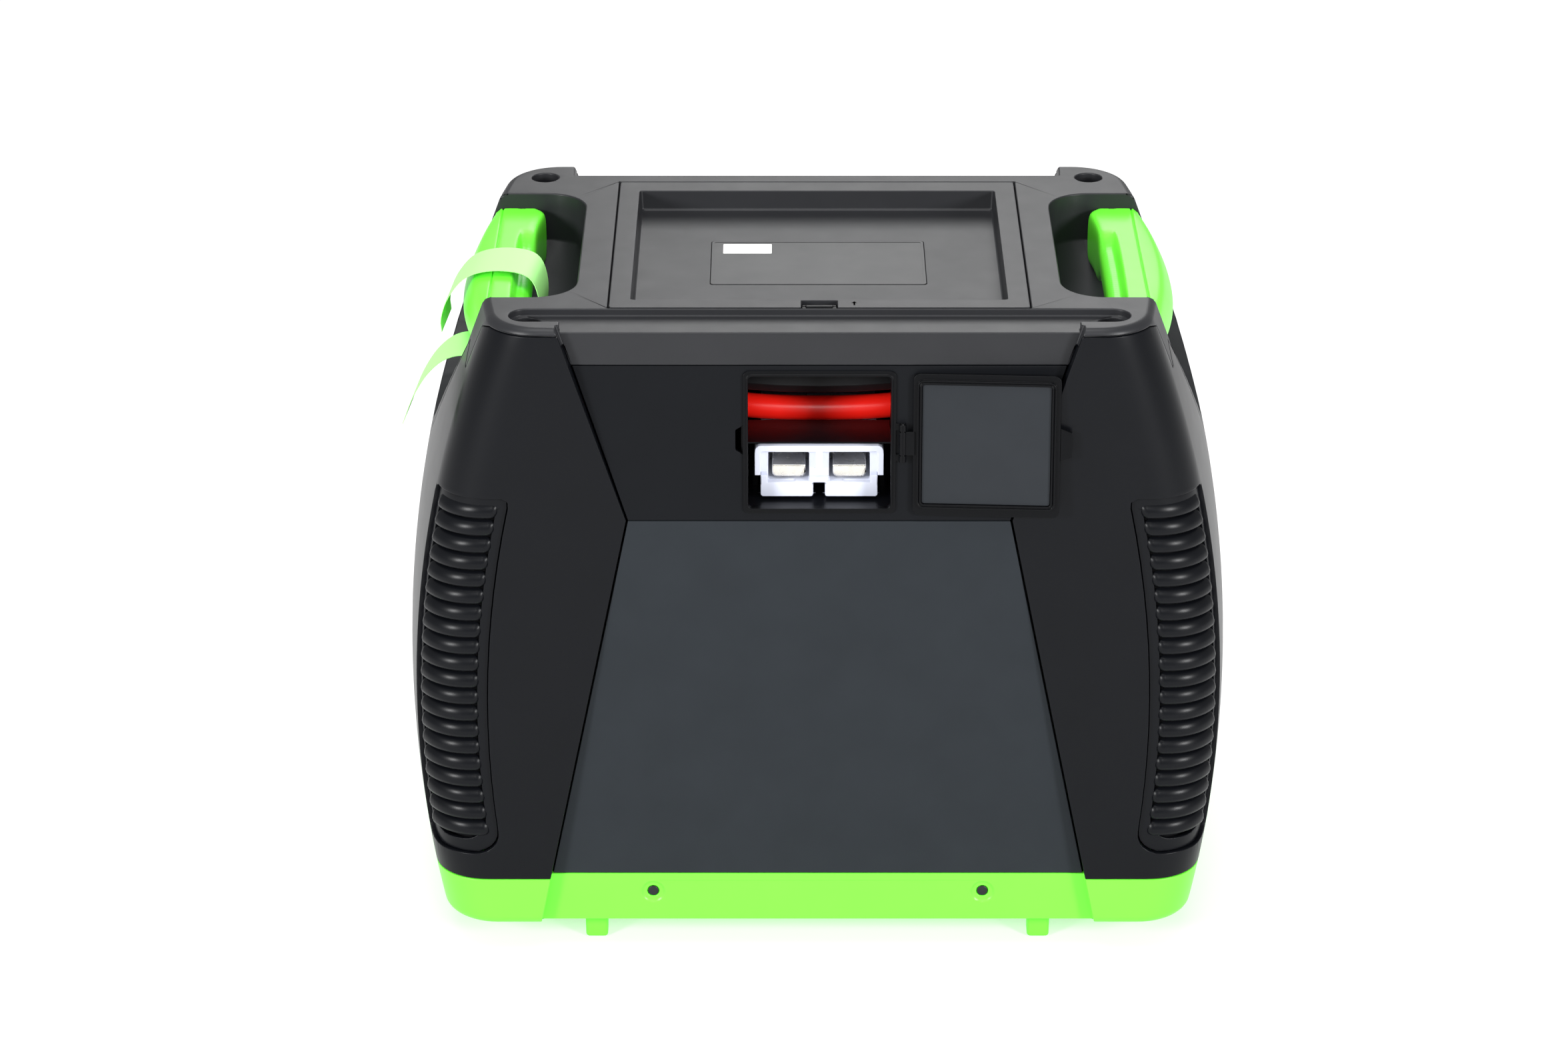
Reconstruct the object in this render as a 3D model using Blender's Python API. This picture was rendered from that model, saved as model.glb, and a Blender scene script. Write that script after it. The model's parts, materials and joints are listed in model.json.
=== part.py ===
"""Expansion battery pod: a sealed 12 V, 100 Ah battery in a moulded carry case.

Metres, +Z up. The origin is the middle of the footprint, level with the bottoms of the four pegs.
-Y is the port side, +Y is the socket side, and +X is to the right when the port side is looked at.
"""

import math

import bmesh
import bpy
from mathutils import Matrix, Vector

GAP = 0.0003

# The port flap stands out in front, so the case sits this far behind the middle of the footprint.
POD_Y = 0.00435

# Case: plan outline, bulging sides, and the levels where its mouldings meet.
HALF_DEPTH = 0.140
WAIST_HALF_WIDTH = 0.246
WAIST_Z = 0.155
SIDE_BULGE = 0.79
CORNER_RADIUS = 0.032
SIDE_TURN = math.radians(9)
BASE_Z = 0.020
SHELL_Z = 0.051
TOP_Z = 0.402
TOP_ROUNDING = 0.004
SHELL_WALL = 0.0035
COVER_WALL = 0.003
BASE_WALL = 0.004
PANEL_WALL = 0.003

# Waisted recess between the corner pillars, as half-widths at heights on the pillar faces.
CREASE_Z = 0.284
RECESS = ((0.020, 0.1654), (0.284, 0.111), (0.410, 0.1526))
RECESS_DRAFT = 0.0008
BAND_Z = 0.3775
FRONT_TOP_Y = -0.133
FRONT_CREASE_Y = -0.1396
FRONT_FOOT_Y = -0.132
REAR_TOP_Y = 0.121
REAR_CREASE_Y = 0.1396
REAR_FOOT_Y = 0.132
RECESS_WALL_Y = 0.114

# Seam between side shells and top cover, and the finger wells under the handles.
SEAM_PILLAR_Z = 0.390
SEAM_CORNER_Z = 0.366
SEAM_PEAK = (0.093, 0.378)
SEAM_TIP_Z = 0.284
COLLAR = ((0.150, 0.3977), (0.122, 0.3970), (0.1115, 0.3935), (0.1065, 0.3655), (0.150, 0.3655))
WELL_HALF_LENGTH = 0.088
WELL_INNER_X = 0.140
WELL_CORNER = 0.025
WELL_SHOULDER_Z = 0.372
WELL_TIP_Z = 0.318
WELL_TIP_SLOPE = 0.28
LOBE_POWER = 1.7

# Lid, tray and latch.
LID_HALF_X = 0.1205
LID_FRONT_Y = -0.105
LID_REAR_Y = 0.1085
LID_SKIN = 0.0026
TRAY_HALF_X = 0.1075
TRAY_Y = (-0.0915, 0.092)
TRAY_DEPTH = 0.0125
LEDGE_WIDTH = 0.005
LEDGE_FRONT_WIDTH = 0.0010
LEDGE_Z = (0.3962, 0.3991)
LID_AXIS = Vector((0, 0.1077, 0.4012))
LATCH_Y = (-0.1034, -0.0976)
LATCH_TRAVEL = 0.0032
TAB_X = 0.080
LABEL_SIZE = (0.127, 0.073)
LABEL_Y = 0.001

# Sockets in the top corners, groove across the front, and pegs under the base.
SOCKET_XY = (0.167, 0.117)
SOCKET_RADIUS = 0.00825
SOCKET_FLOOR_Z = 0.376
GROOVE_Z = 0.3975
GROOVE_RADIUS = 0.0098
GROOVE_HALF_X = 0.1476
PEG_XY = (0.133, 0.111)
PEG_HALF = 0.007
SCREW_X = 0.0983
SCREW_Z = 0.0385

# Countersink, head recess and clearance hole: how far out and in each goes, and its two radii.
SCREW_HOLE = ((0.001, 0.001, 0.0080, 0.0045), (0.002, 0.0025, 0.0036, 0.0036), (0, 0.006, 0.0022, 0.0022))

# Handles.
HANDLE_Z = (0.3665, 0.3925)
HANDLE_INNER_X = (0.163, 0.169)
HANDLE_TOP_X = (0.196, 0.204)
HANDLE_OUTER_X = (0.198, 0.2105)

# Vent grilles, measured along the corner from a start on the flat pillar face.
VENT_FLAT = 0.012
VENT_Z = (0.068, 0.2975)
LOUVRES = 20
LOUVRE_Z = 0.084
LOUVRE_PITCH = 0.0108

# Port, in the frame of the sloping upper front panel: its foot is on the crease.
PORT_HALF = 0.0408
PORT_HEIGHT = (0.0080, 0.0875)
FLAP_AXIS = Vector((0.0475, -0.0026, 0))
FLAP_LEAN = math.radians(3.8)
FLAP_REACH = (0.0059, 0.0899)
FLAP_HEIGHT = (0.0045, 0.0898)
FLAP_SKIN = 0.0020
HINGE_HEIGHT = (0.0410, 0.0550)

# Connector in the port, and its leads.
CONNECTOR_HALF_X = 0.0347
CONNECTOR_Y = (-0.124, -0.016)
CONNECTOR_Z = (0.2926, 0.3246)
CONTACT_X = 0.0175
CONTACT_Z = 0.3091
LEAD_RADIUS = 0.00725

# Battery and its terminals.
BATTERY_HALF_X = 0.165
BATTERY_HALF_Y = 0.0865
BATTERY_Z = (0.0276, 0.246)
CELLS = 6
TERMINAL_XY = (0.135, -0.060)

# Sockets and controls, in the frame of the sloping upper rear panel: its foot is on the crease.
REAR_X = {"dc_socket": -0.070, "solar_jack": -0.024, "button": 0.020, "gauge": 0.065}
REAR_HEIGHT = 0.047

FINISHES = {
    "case_black": ((0.017, 0.018, 0.021), 0.38, 0),
    "panel_black": ((0.016, 0.017, 0.020), 0.42, 0),
    "panel_graphite": ((0.033, 0.038, 0.043), 0.42, 0),
    "cover_grey": ((0.060, 0.061, 0.065), 0.48, 0),
    "green": ((0.19, 1.0, 0.05), 0.35, 0),
    "rubber": ((0.020, 0.021, 0.023), 0.65, 0),
    "connector_grey": ((0.74, 0.77, 0.86), 0.40, 0),
    "red_cable": ((0.85, 0.01, 0.005), 0.40, 0),
    "black_cable": ((0.010, 0.010, 0.011), 0.50, 0),
    "silver": ((0.80, 0.79, 0.76), 0.25, 1),
    "steel": ((0.55, 0.55, 0.56), 0.35, 1),
    "lead": ((0.28, 0.28, 0.30), 0.50, 1),
    "battery_case": ((0.05, 0.05, 0.055), 0.50, 0),
    "foam": ((0.03, 0.03, 0.03), 0.90, 0),
    "circuit": ((0.01, 0.13, 0.05), 0.50, 0),
    "clear": ((0.60, 0.62, 0.64), 0.10, 0),
    "label": ((0.025, 0.026, 0.028), 0.30, 0),
    "tag_green": ((0.40, 0.87, 0.26), 0.60, 0),
}


# ---------------------------------------------------------------- scene and helpers


def clear_scene():
    for thing in list(bpy.data.objects):
        bpy.data.objects.remove(thing, do_unlink=True)


def new_collection(name):
    made = bpy.data.collections.new(name)
    bpy.context.scene.collection.children.link(made)
    return made


def new_material(name):
    colour, roughness, metallic = FINISHES[name]
    made = bpy.data.materials.new(name)
    made.use_nodes = True
    shader = made.node_tree.nodes["Principled BSDF"]
    shader.inputs["Base Color"].default_value = (*colour, 1)
    shader.inputs["Roughness"].default_value = roughness
    shader.inputs["Metallic"].default_value = metallic
    made.diffuse_color = (*colour, 1)
    return made


def to_mesh(bm, name="shape"):
    bmesh.ops.recalc_face_normals(bm, faces=bm.faces)
    if bm.calc_volume(signed=True) < 0:
        bmesh.ops.reverse_faces(bm, faces=bm.faces)
    mesh = bpy.data.meshes.new(name)
    bm.to_mesh(mesh)
    bm.free()
    return mesh


def new_frame(name, place, turn=(0, 0, 0), parent=None):
    """An empty that pieces and cutters are placed in."""
    made = bpy.data.objects.new(name, None)
    PARTS.objects.link(made)
    made.location = place
    made.rotation_euler = turn
    made.parent = parent
    return made


def part(name, mesh, finish, parent=None, origin=None):
    """A named piece of the pod. Its origin can be moved onto a joint's axis."""
    mesh.name = name
    made = bpy.data.objects.new(name, mesh)
    PARTS.objects.link(made)
    if origin is not None:
        mesh.transform(Matrix.Translation(-origin))
        made.location = origin
    made.parent = parent or POD
    mesh.materials.clear()
    mesh.materials.append(MATERIALS[finish])
    return made


def helper(mesh, parent=None):
    """A shape used by a Boolean, which isn't itself a piece."""
    made = bpy.data.objects.new("cutter", mesh)
    CUTTERS.objects.link(made)
    made.hide_render = True
    made.display_type = "WIRE"
    made.parent = parent or POD
    return made


def boolean(target, operation, shapes, parent):
    for shape in shapes:
        tool = shape if isinstance(shape, bpy.types.Object) else helper(shape, parent)
        step = target.modifiers.new(operation.lower(), "BOOLEAN")
        step.operation = operation
        step.object = tool
    return target


def cut(target, *shapes, parent=None):
    return boolean(target, "DIFFERENCE", shapes, parent)


def fuse(target, *shapes, parent=None):
    return boolean(target, "UNION", shapes, parent)


def smooth(target, angle=35):
    target.data.shade_smooth()
    target.data.set_sharp_from_angle(angle=math.radians(angle))
    return target


# ---------------------------------------------------------------- basic shapes


def block(low, high):
    bm = bmesh.new()
    bmesh.ops.create_cube(bm, size=1)
    size = [b - a for a, b in zip(low, high)]
    middle = [(a + b) / 2 for a, b in zip(low, high)]
    bmesh.ops.scale(bm, vec=size, verts=bm.verts)
    bmesh.ops.translate(bm, vec=middle, verts=bm.verts)
    return to_mesh(bm)


def rod(start, end, radius, end_radius=None, sides=16):
    start, end = Vector(start), Vector(end)
    along = end - start
    bm = bmesh.new()
    bmesh.ops.create_cone(
        bm,
        cap_ends=True,
        segments=sides,
        radius1=radius,
        radius2=radius if end_radius is None else end_radius,
        depth=along.length,
    )
    turn = along.to_track_quat("Z", "Y").to_matrix().to_4x4()
    bm.transform(Matrix.Translation((start + end) / 2) @ turn)
    return to_mesh(bm)


def loft(rings):
    """Closed solid through rings that have the same number of points, with flat ends."""
    bm = bmesh.new()
    rows = [[bm.verts.new(point) for point in ring] for ring in rings]
    count = len(rings[0])
    for low, high in zip(rows, rows[1:]):
        for i in range(count):
            j = (i + 1) % count
            bm.faces.new((low[i], low[j], high[j], high[i]))
    bm.faces.new(reversed(rows[0]))
    bm.faces.new(rows[-1])
    return to_mesh(bm)


def curve_to_mesh(curve):
    carrier = bpy.data.objects.new("carrier", curve)
    CUTTERS.objects.link(carrier)
    graph = bpy.context.evaluated_depsgraph_get()
    mesh = bpy.data.meshes.new_from_object(carrier.evaluated_get(graph))
    bpy.data.objects.remove(carrier)
    bm = bmesh.new()
    bm.from_mesh(mesh)
    bmesh.ops.remove_doubles(bm, verts=bm.verts, dist=1e-6)
    bpy.data.meshes.remove(mesh)
    return to_mesh(bm)


TURNS = {
    "XY": Matrix.Identity(3),
    "XZ": Matrix(((1, 0, 0), (0, 0, -1), (0, 1, 0))),
    "YZ": Matrix(((0, 0, 1), (1, 0, 0), (0, 1, 0))),
}
ACROSS = {"XY": Vector((0, 0, 1)), "XZ": Vector((0, 1, 0)), "YZ": Vector((1, 0, 0))}


def slab(outline, low, high, plane="XY"):
    """Flat outline in the named plane, extruded across it from low to high."""
    curve = bpy.data.curves.new("outline", "CURVE")
    curve.dimensions = "2D"
    curve.fill_mode = "BOTH"
    curve.extrude = (high - low) / 2
    spline = curve.splines.new("POLY")
    spline.points.add(len(outline) - 1)
    for point, (across, up) in zip(spline.points, outline):
        point.co = (across, up, 0, 1)
    spline.use_cyclic_u = True
    mesh = curve_to_mesh(curve)
    middle = ACROSS[plane] * ((low + high) / 2)
    mesh.transform(Matrix.Translation(middle) @ TURNS[plane].to_4x4())
    return mesh


def tube(points, radius, resolution=2):
    """Round tube with flat caps through points."""
    curve = bpy.data.curves.new("route", "CURVE")
    curve.dimensions = "3D"
    curve.bevel_depth = radius
    curve.bevel_resolution = resolution
    curve.use_fill_caps = True
    spline = curve.splines.new("POLY")
    spline.points.add(len(points) - 1)
    for point, place in zip(spline.points, points):
        point.co = (*place, 1)
    return curve_to_mesh(curve)


def smooth_route(points, step):
    """Points about a step apart along the Catmull-Rom curve through the given points."""
    ends = [2 * points[0] - points[1], *points, 2 * points[-1] - points[-2]]
    found = [points[0]]
    for a, b, c, d in zip(ends, ends[1:], ends[2:], ends[3:]):
        pieces = max(1, round((c - b).length / step))
        for i in range(1, pieces + 1):
            t = i / pieces
            bend = 2 * b + (c - a) * t + (2 * a - 5 * b + 4 * c - d) * t * t
            found.append((bend + (3 * b - 3 * c + d - a) * t**3) / 2)
    return found


# ---------------------------------------------------------------- case outlines


def half_width(z):
    return WAIST_HALF_WIDTH - SIDE_BULGE * (z - WAIST_Z) ** 2


def corner_arc(z, inset=0.0, depth=HALF_DEPTH):
    """Centre and radius of the corner arc, and how far the side bows out beyond its ends."""
    radius = CORNER_RADIUS - inset
    centre_y = depth - inset - radius
    side_end = centre_y + radius * math.sin(SIDE_TURN)
    bow = side_end * math.tan(SIDE_TURN) / 2
    centre_x = half_width(z) - inset - bow - radius * math.cos(SIDE_TURN)
    return centre_x, centre_y, radius, bow, side_end


def case_ring(z, inset=0.0, depth=HALF_DEPTH, side=3, arc=4):
    """Closed plan outline of the case at height z, moved inwards by inset."""
    centre_x, centre_y, radius, bow, side_end = corner_arc(z, inset, depth)
    quarter = []
    for i in range(side):
        y = side_end * i / side
        quarter.append((half_width(z) - inset - bow * (y / side_end) ** 2, y))
    for i in range(arc + 1):
        angle = SIDE_TURN + (math.pi / 2 - SIDE_TURN) * i / arc
        quarter.append((centre_x + radius * math.cos(angle), centre_y + radius * math.sin(angle)))
    back = quarter[::-1]
    plan = quarter + [(-x, y) for x, y in back[:-1]]
    plan += [(-x, -y) for x, y in quarter] + [(x, -y) for x, y in back[:-1]]
    return [(x, y, z) for x, y in plan]


def recess_half(z):
    """Half-width of the recess between the pillars, on the pillar faces."""
    for (z0, w0), (z1, w1) in zip(RECESS, RECESS[1:]):
        if z <= z1:
            return w0 + (w1 - w0) * (z - z0) / (z1 - z0)
    return RECESS[-1][1]


def recess_levels(low, high):
    return [low] + [z for z, _ in RECESS if low < z < high] + [high]


def recess_outline(low, high, margin=0.0):
    """Waisted outline in X and Z from low to high."""
    right = [(recess_half(z) + margin, z) for z in recess_levels(low, high)]
    return right + [(-x, z) for x, z in right[::-1]]


def recess_cutter(front, back, low, high):
    """The recess as a solid between two Y planes; it narrows away from the pillar faces."""
    rings = []
    for y in (front, back):
        deeper = (HALF_DEPTH - abs(y)) / (HALF_DEPTH - RECESS_WALL_Y)
        outline = recess_outline(low, high, -RECESS_DRAFT * deeper)
        rings.append([(x, y, z) for x, z in outline])
    return loft(rings)


def recess_walls(wall, overlap, low, high):
    """The four walls that return from the pillar faces to the panels, which they overlap inwards."""
    walls = []
    for side in (-1, 1):
        inner = [(side * (recess_half(z) - overlap), z) for z in recess_levels(low, high)]
        outer = [(side * (recess_half(z) + wall), z) for z in recess_levels(low, high)]
        for end in (-1, 1):
            near, far = sorted((end * RECESS_WALL_Y, end * (HALF_DEPTH + 0.002)))
            walls.append(slab(inner + outer[::-1], near, far, "XZ"))
    return walls


def lobe(half, tip, shoulder, steps=6):
    """The finger well's lower edge in Y and Z: a rounded V."""
    found = []
    for i in range(-steps, steps + 1):
        t = i / steps
        found.append((half * t, tip + (shoulder - tip) * abs(t) ** LOBE_POWER))
    return found


def seam_line(drop=0.0):
    """The seam between side shells and cover, in Y and Z."""
    peak_y, peak_z = SEAM_PEAK
    left = [(y, SEAM_PILLAR_Z) for y in (-0.150, -0.1285)] + [(y, SEAM_CORNER_Z) for y in (-0.112, -0.104)]
    right = [(-y, z) for y, z in left[::-1]]
    middle = lobe(peak_y, SEAM_TIP_Z, peak_z)
    return [(y, z - drop) for y, z in left + middle + right]


def well_ring(x, half, margin):
    """Section of a finger well at x; margin grows it to the outside of its wall."""
    tip = WELL_TIP_Z - WELL_TIP_SLOPE * (abs(x) - WELL_INNER_X) - margin
    edge = lobe(half + margin, tip, WELL_SHOULDER_Z - margin, 4)
    outline = [(-half - margin, 0.412)] + edge + [(half + margin, 0.412)]
    return [(x, y, z) for y, z in outline]


def well(side, margin=0.0):
    rings = []
    straight = WELL_HALF_LENGTH - WELL_CORNER
    centre = WELL_INNER_X + WELL_CORNER
    for i in range(5):
        angle = math.pi / 2 * i / 4
        x = centre - (WELL_CORNER + margin) * math.cos(angle)
        rings.append(well_ring(side * x, straight + WELL_CORNER * math.sin(angle), margin))
    rings.append(well_ring(side * 0.262, WELL_HALF_LENGTH, margin))
    return loft(rings)


def vent_point(u, z, inset, side, end):
    """A point u along the corner from the start of the vent, on the corner named by two signs."""
    centre_x, centre_y, radius, _, _ = corner_arc(z, inset)
    if u <= VENT_FLAT:
        x, y = centre_x - (VENT_FLAT - u), centre_y + radius
    else:
        angle = math.pi / 2 - (u - VENT_FLAT) / CORNER_RADIUS
        x, y = centre_x + radius * math.cos(angle), centre_y + radius * math.sin(angle)
    return (side * x, end * y, z)


VENT_LENGTH = VENT_FLAT + CORNER_RADIUS * (math.pi / 2 - SIDE_TURN)


def vent_strip(low, high, inset, depth, margin, side, end, steps=4):
    """Curved slab along the corner, with a U-shaped foot; margin shrinks its outline."""
    foot = ((0, 0.0145), (0.004, 0.0055), (0.009, 0.0015), (0.017, 0))
    levels = [(low + up, narrower) for up, narrower in foot]
    levels += [(z, 0) for z in (low + 0.075, low + 0.150)] + [(high - 0.006, 0), (high, 0.005)]
    rings = []
    for z, narrower in levels:
        start, stop = margin + narrower, VENT_LENGTH - margin - narrower
        stations = [start + (stop - start) * i / steps for i in range(steps + 1)]
        outer = [vent_point(u, z, inset, side, end) for u in stations]
        inner = [vent_point(u, z, inset + depth, side, end) for u in stations[::-1]]
        rings.append(outer + inner)
    return loft(rings)


# ---------------------------------------------------------------- case pieces


def build_base():
    rounding = ((0, 0.006), (0.002, 0.0028), (0.0065, 0))
    levels = [(BASE_Z + up, inset) for up, inset in rounding] + [(SHELL_Z - GAP, 0)]
    base = part("base_tray", loft([case_ring(z, inset) for z, inset in levels]), "green")
    floor = BASE_Z + BASE_WALL
    hollow = [case_ring(z, BASE_WALL, HALF_DEPTH - 0.008) for z in (floor, SHELL_Z + 0.002)]
    cut(base, loft(hollow))
    notch_low, notch_high = BASE_Z - 0.002, SHELL_Z + 0.002
    cut(base, recess_cutter(-0.150, FRONT_FOOT_Y, notch_low, notch_high))
    cut(base, recess_cutter(REAR_FOOT_Y, 0.150, notch_low, notch_high))
    for side in (-1, 1):
        for end in (-1, 1):
            x, y = side * PEG_XY[0], end * PEG_XY[1]
            rings = []
            for z, half in ((0, PEG_HALF - 0.0012), (0.002, PEG_HALF - 0.0004), (BASE_Z + 0.002, PEG_HALF)):
                corners = ((-half, -half), (half, -half), (half, half), (-half, half))
                rings.append([(x + a, y + b, z) for a, b in corners])
            fuse(base, loft(rings))
            face = end * abs(FRONT_FOOT_Y)
            for start, stop, wide, narrow in SCREW_HOLE:
                outer = (side * SCREW_X, face + end * start, SCREW_Z)
                inner = (side * SCREW_X, face - end * stop, SCREW_Z)
                cut(base, rod(outer, inner, wide, narrow))
    return base


def build_screws():
    for end, end_name in ((-1, "front"), (1, "rear")):
        for side, side_name in ((-1, "left"), (1, "right")):
            face = end * (abs(FRONT_FOOT_Y) - 0.0012)
            x = side * SCREW_X
            head_end = face - end * 0.0010
            screw = part(
                f"base_screw_{end_name}_{side_name}",
                rod((x, face, SCREW_Z), (x, head_end, SCREW_Z), 0.0032, None, 12),
                "steel",
            )
            inner = (x, face - end * 0.010, SCREW_Z)
            fuse(screw, rod((x, face - end * 0.0005, SCREW_Z), inner, 0.0019, None, 10))


def collar(end, depth, gap=0.0):
    """Outer skin of the pillar tops, where the shells reach up to the rounding of the cover."""
    outline = [(end * (y + gap), z - gap) for y, z in COLLAR]
    skin = helper(slab(outline, -0.270, 0.270, "YZ"))
    cut(skin, loft([case_ring(z, depth) for z in (0.350, 0.378, 0.405)]))
    return skin


def build_side_shells():
    levels = [SHELL_Z + GAP, 0.080, 0.115, 0.155, 0.195, 0.235, 0.275, 0.315, 0.355, 0.398]
    for side, name in ((-1, "left_side_shell"), (1, "right_side_shell")):
        shell = part(name, loft([case_ring(z) for z in levels]), "case_black")
        hollow = helper(loft([case_ring(z, SHELL_WALL) for z in [0.045] + levels[1:-1] + [0.400]]))
        cut(hollow, *recess_walls(SHELL_WALL, 0.004, 0.040, 0.405))
        cut(shell, hollow)
        cut(shell, recess_cutter(-0.150, 0.001 - RECESS_WALL_Y, 0.045, 0.410))
        cut(shell, recess_cutter(RECESS_WALL_Y - 0.001, 0.150, 0.045, 0.410))
        outline = seam_line(GAP) + [(0.150, 0.420), (-0.150, 0.420)]
        above = helper(slab(outline, -0.270, 0.270, "YZ"))
        cut(above, *[collar(end, SHELL_WALL - 0.0003, GAP) for end in (-1, 1)])
        cut(shell, above)
        far, near = sorted((-side * 0.300, side * 0.080))
        cut(shell, block((far, -0.160, 0), (near, 0.160, 0.45)))
        for end in (-1, 1):
            cut(shell, vent_strip(VENT_Z[0], VENT_Z[1], -0.004, 0.014, 0, side, end))
        smooth(shell)


def build_grilles():
    """Curved louvred grilles that clip into the corner pillars."""
    for end, end_name in ((-1, "front"), (1, "rear")):
        for side, side_name in ((-1, "left"), (1, "right")):
            low, high = VENT_Z[0] + 0.0004, VENT_Z[1] - 0.0004
            frame = part(
                f"vent_grille_{end_name}_{side_name}",
                vent_strip(low, high, 0.0022, 0.0026, 0.0004, side, end),
                "case_black",
            )
            cut(frame, vent_strip(low + 0.0055, high - 0.0045, 0, 0.008, 0.0055, side, end))
            fuse(frame, louvres(side, end))
            smooth(frame)


def louvres(side, end):
    """All louvres of one grille, as separate slanted hoods in one mesh."""
    section = ((0.0034, 0.0044), (0.0006, -0.0030), (0.0018, -0.0040), (0.0045, 0.0036))
    steps = 3
    start, stop = 0.0045, VENT_LENGTH - 0.0045
    bm = bmesh.new()
    for number in range(LOUVRES):
        middle = LOUVRE_Z + LOUVRE_PITCH * number
        rings = []
        for i in range(steps + 1):
            u = start + (stop - start) * i / steps
            rings.append([vent_point(u, middle + up, inset, side, end) for inset, up in section])
        bm.from_mesh(loft(rings))
    return to_mesh(bm)


def build_front_panels():
    """Sloping port panel above the crease and lighter panel below it."""
    upper = panel_solid(CREASE_Z + GAP, BAND_Z - GAP, FRONT_CREASE_Y, FRONT_TOP_Y, -1)
    panel = part("port_panel", upper, "panel_black")
    low, high, half = PORT_HEIGHT[0] - 0.001, PORT_HEIGHT[1] + 0.001, PORT_HALF + 0.001
    notch = [(-0.0480, 0.0430), (-0.040, 0.0380), (-0.040, 0.0600), (-0.0480, 0.0550)]
    cut(panel, block((-half, -0.010, low), (half, 0.010, high)), parent=PORT_FRAME)
    cut(panel, slab(notch, -0.010, 0.010, "XZ"), parent=PORT_FRAME)
    lower = panel_solid(SHELL_Z + GAP, CREASE_Z - GAP, FRONT_FOOT_Y, FRONT_CREASE_Y, -1)
    foot_panel("lower_front_panel", lower, -1)


def panel_solid(low, high, y_low, y_high, end):
    """A flat panel between two heights that fills the recess; y is that of its outer face."""
    rings = []
    for depth in (0, PANEL_WALL):
        outline = recess_outline(low, high, -RECESS_DRAFT - 0.0004)
        ring = []
        for x, z in outline:
            y = y_low + (y_high - y_low) * (z - low) / (high - low)
            ring.append((x, y - end * depth, z))
        rings.append(ring)
    return loft(rings)


def foot_panel(name, mesh, end):
    """A lower panel, with the flange that its base screws hold."""
    panel = part(name, mesh, "panel_graphite")
    flange = [end * 0.1300, end * 0.1252]
    tongue = [end * 0.1276, end * 0.1252]
    fuse(panel, block((-0.115, min(flange), SHELL_Z + 0.0008), (0.115, max(flange), 0.064)))
    fuse(panel, block((-0.115, min(tongue), 0.028), (0.115, max(tongue), 0.060)))
    for side in (-1, 1):
        at = side * SCREW_X
        cut(panel, rod((at, end * 0.131, SCREW_Z), (at, end * 0.120, SCREW_Z), 0.0022, None, 12))
    return panel


def build_rear_panels():
    upper = panel_solid(CREASE_Z + GAP, BAND_Z - GAP, REAR_CREASE_Y, REAR_TOP_Y, 1)
    panel = part("rear_panel", upper, "panel_black")
    for name, radius in (("dc_socket", 0.0143), ("solar_jack", 0.0063), ("button", 0.0088)):
        x = REAR_X[name]
        cut(panel, rod((x, -0.010, REAR_HEIGHT), (x, 0.010, REAR_HEIGHT), radius), parent=REAR_FRAME)
    x, up = REAR_X["gauge"], REAR_HEIGHT
    window = block((x - 0.0173, -0.010, up - 0.0073), (x + 0.0173, 0.010, up + 0.0073))
    cut(panel, window, parent=REAR_FRAME)
    lower = panel_solid(SHELL_Z + GAP, CREASE_Z - GAP, REAR_FOOT_Y, REAR_CREASE_Y, 1)
    foot_panel("lower_rear_panel", lower, 1)


def cover_levels(inset):
    """Heights and insets of the cover's outside, or of its inside when inset is the wall."""
    levels = [(z, inset) for z in (0.270, 0.300, 0.330, 0.360)]
    radius = TOP_ROUNDING - inset
    for i in range(4):
        angle = math.pi / 2 * i / 3
        z = TOP_Z - TOP_ROUNDING + radius * math.sin(angle)
        levels.append((z, inset + radius * (1 - math.cos(angle))))
    return levels


def build_cover():
    outside = [case_ring(z, inset) for z, inset in cover_levels(0)]
    inside = [case_ring(z, inset) for z, inset in [(0.262, COVER_WALL)] + cover_levels(COVER_WALL)[1:]]
    cover = part("top_cover", loft(outside), "cover_grey")
    hollow = helper(loft(inside))
    cut(hollow, *recess_walls(COVER_WALL, 0.0007, 0.255, 0.405))
    for side in (-1, 1):
        cut(hollow, well(side, COVER_WALL))
    rim = 0.004
    seat_low = (-LID_HALF_X - rim, LID_FRONT_Y - 0.003, LEDGE_Z[0])
    cut(hollow, block(seat_low, (LID_HALF_X + rim, LID_REAR_Y + rim, 0.405)))
    cut(hollow, block((-0.1795, -0.145, GROOVE_Z - COVER_WALL), (0.1795, -0.1055, 0.405)))
    cut(cover, hollow)
    below = seam_line() + [(0.150, 0.250), (-0.150, 0.250)]
    cut(cover, slab(below, -0.270, 0.270, "YZ"))
    cut(cover, *[collar(end, SHELL_WALL) for end in (-1, 1)])
    band = recess_outline(BAND_Z, 0.3965, -0.0005)
    fuse(cover, slab(band, FRONT_TOP_Y, FRONT_TOP_Y + COVER_WALL, "XZ"))
    back_band = recess_outline(BAND_Z, 0.400, -0.0012)
    fuse(cover, slab(back_band, REAR_TOP_Y - COVER_WALL, REAR_TOP_Y, "XZ"))
    for side in (-1, 1):
        for end, roof in ((-1, 0.3955), (1, 0.4000)):
            x, y = side * SOCKET_XY[0], end * SOCKET_XY[1]
            fuse(cover, rod((x, y, SOCKET_FLOOR_Z - 0.002), (x, y, roof), SOCKET_RADIUS + 0.002))
    cut(cover, recess_cutter(-0.150, FRONT_TOP_Y, 0.300, 0.410))
    cut(cover, recess_cutter(REAR_TOP_Y, 0.150, 0.300, 0.410))
    cut_cover_top(cover)
    return smooth(cover)


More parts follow.
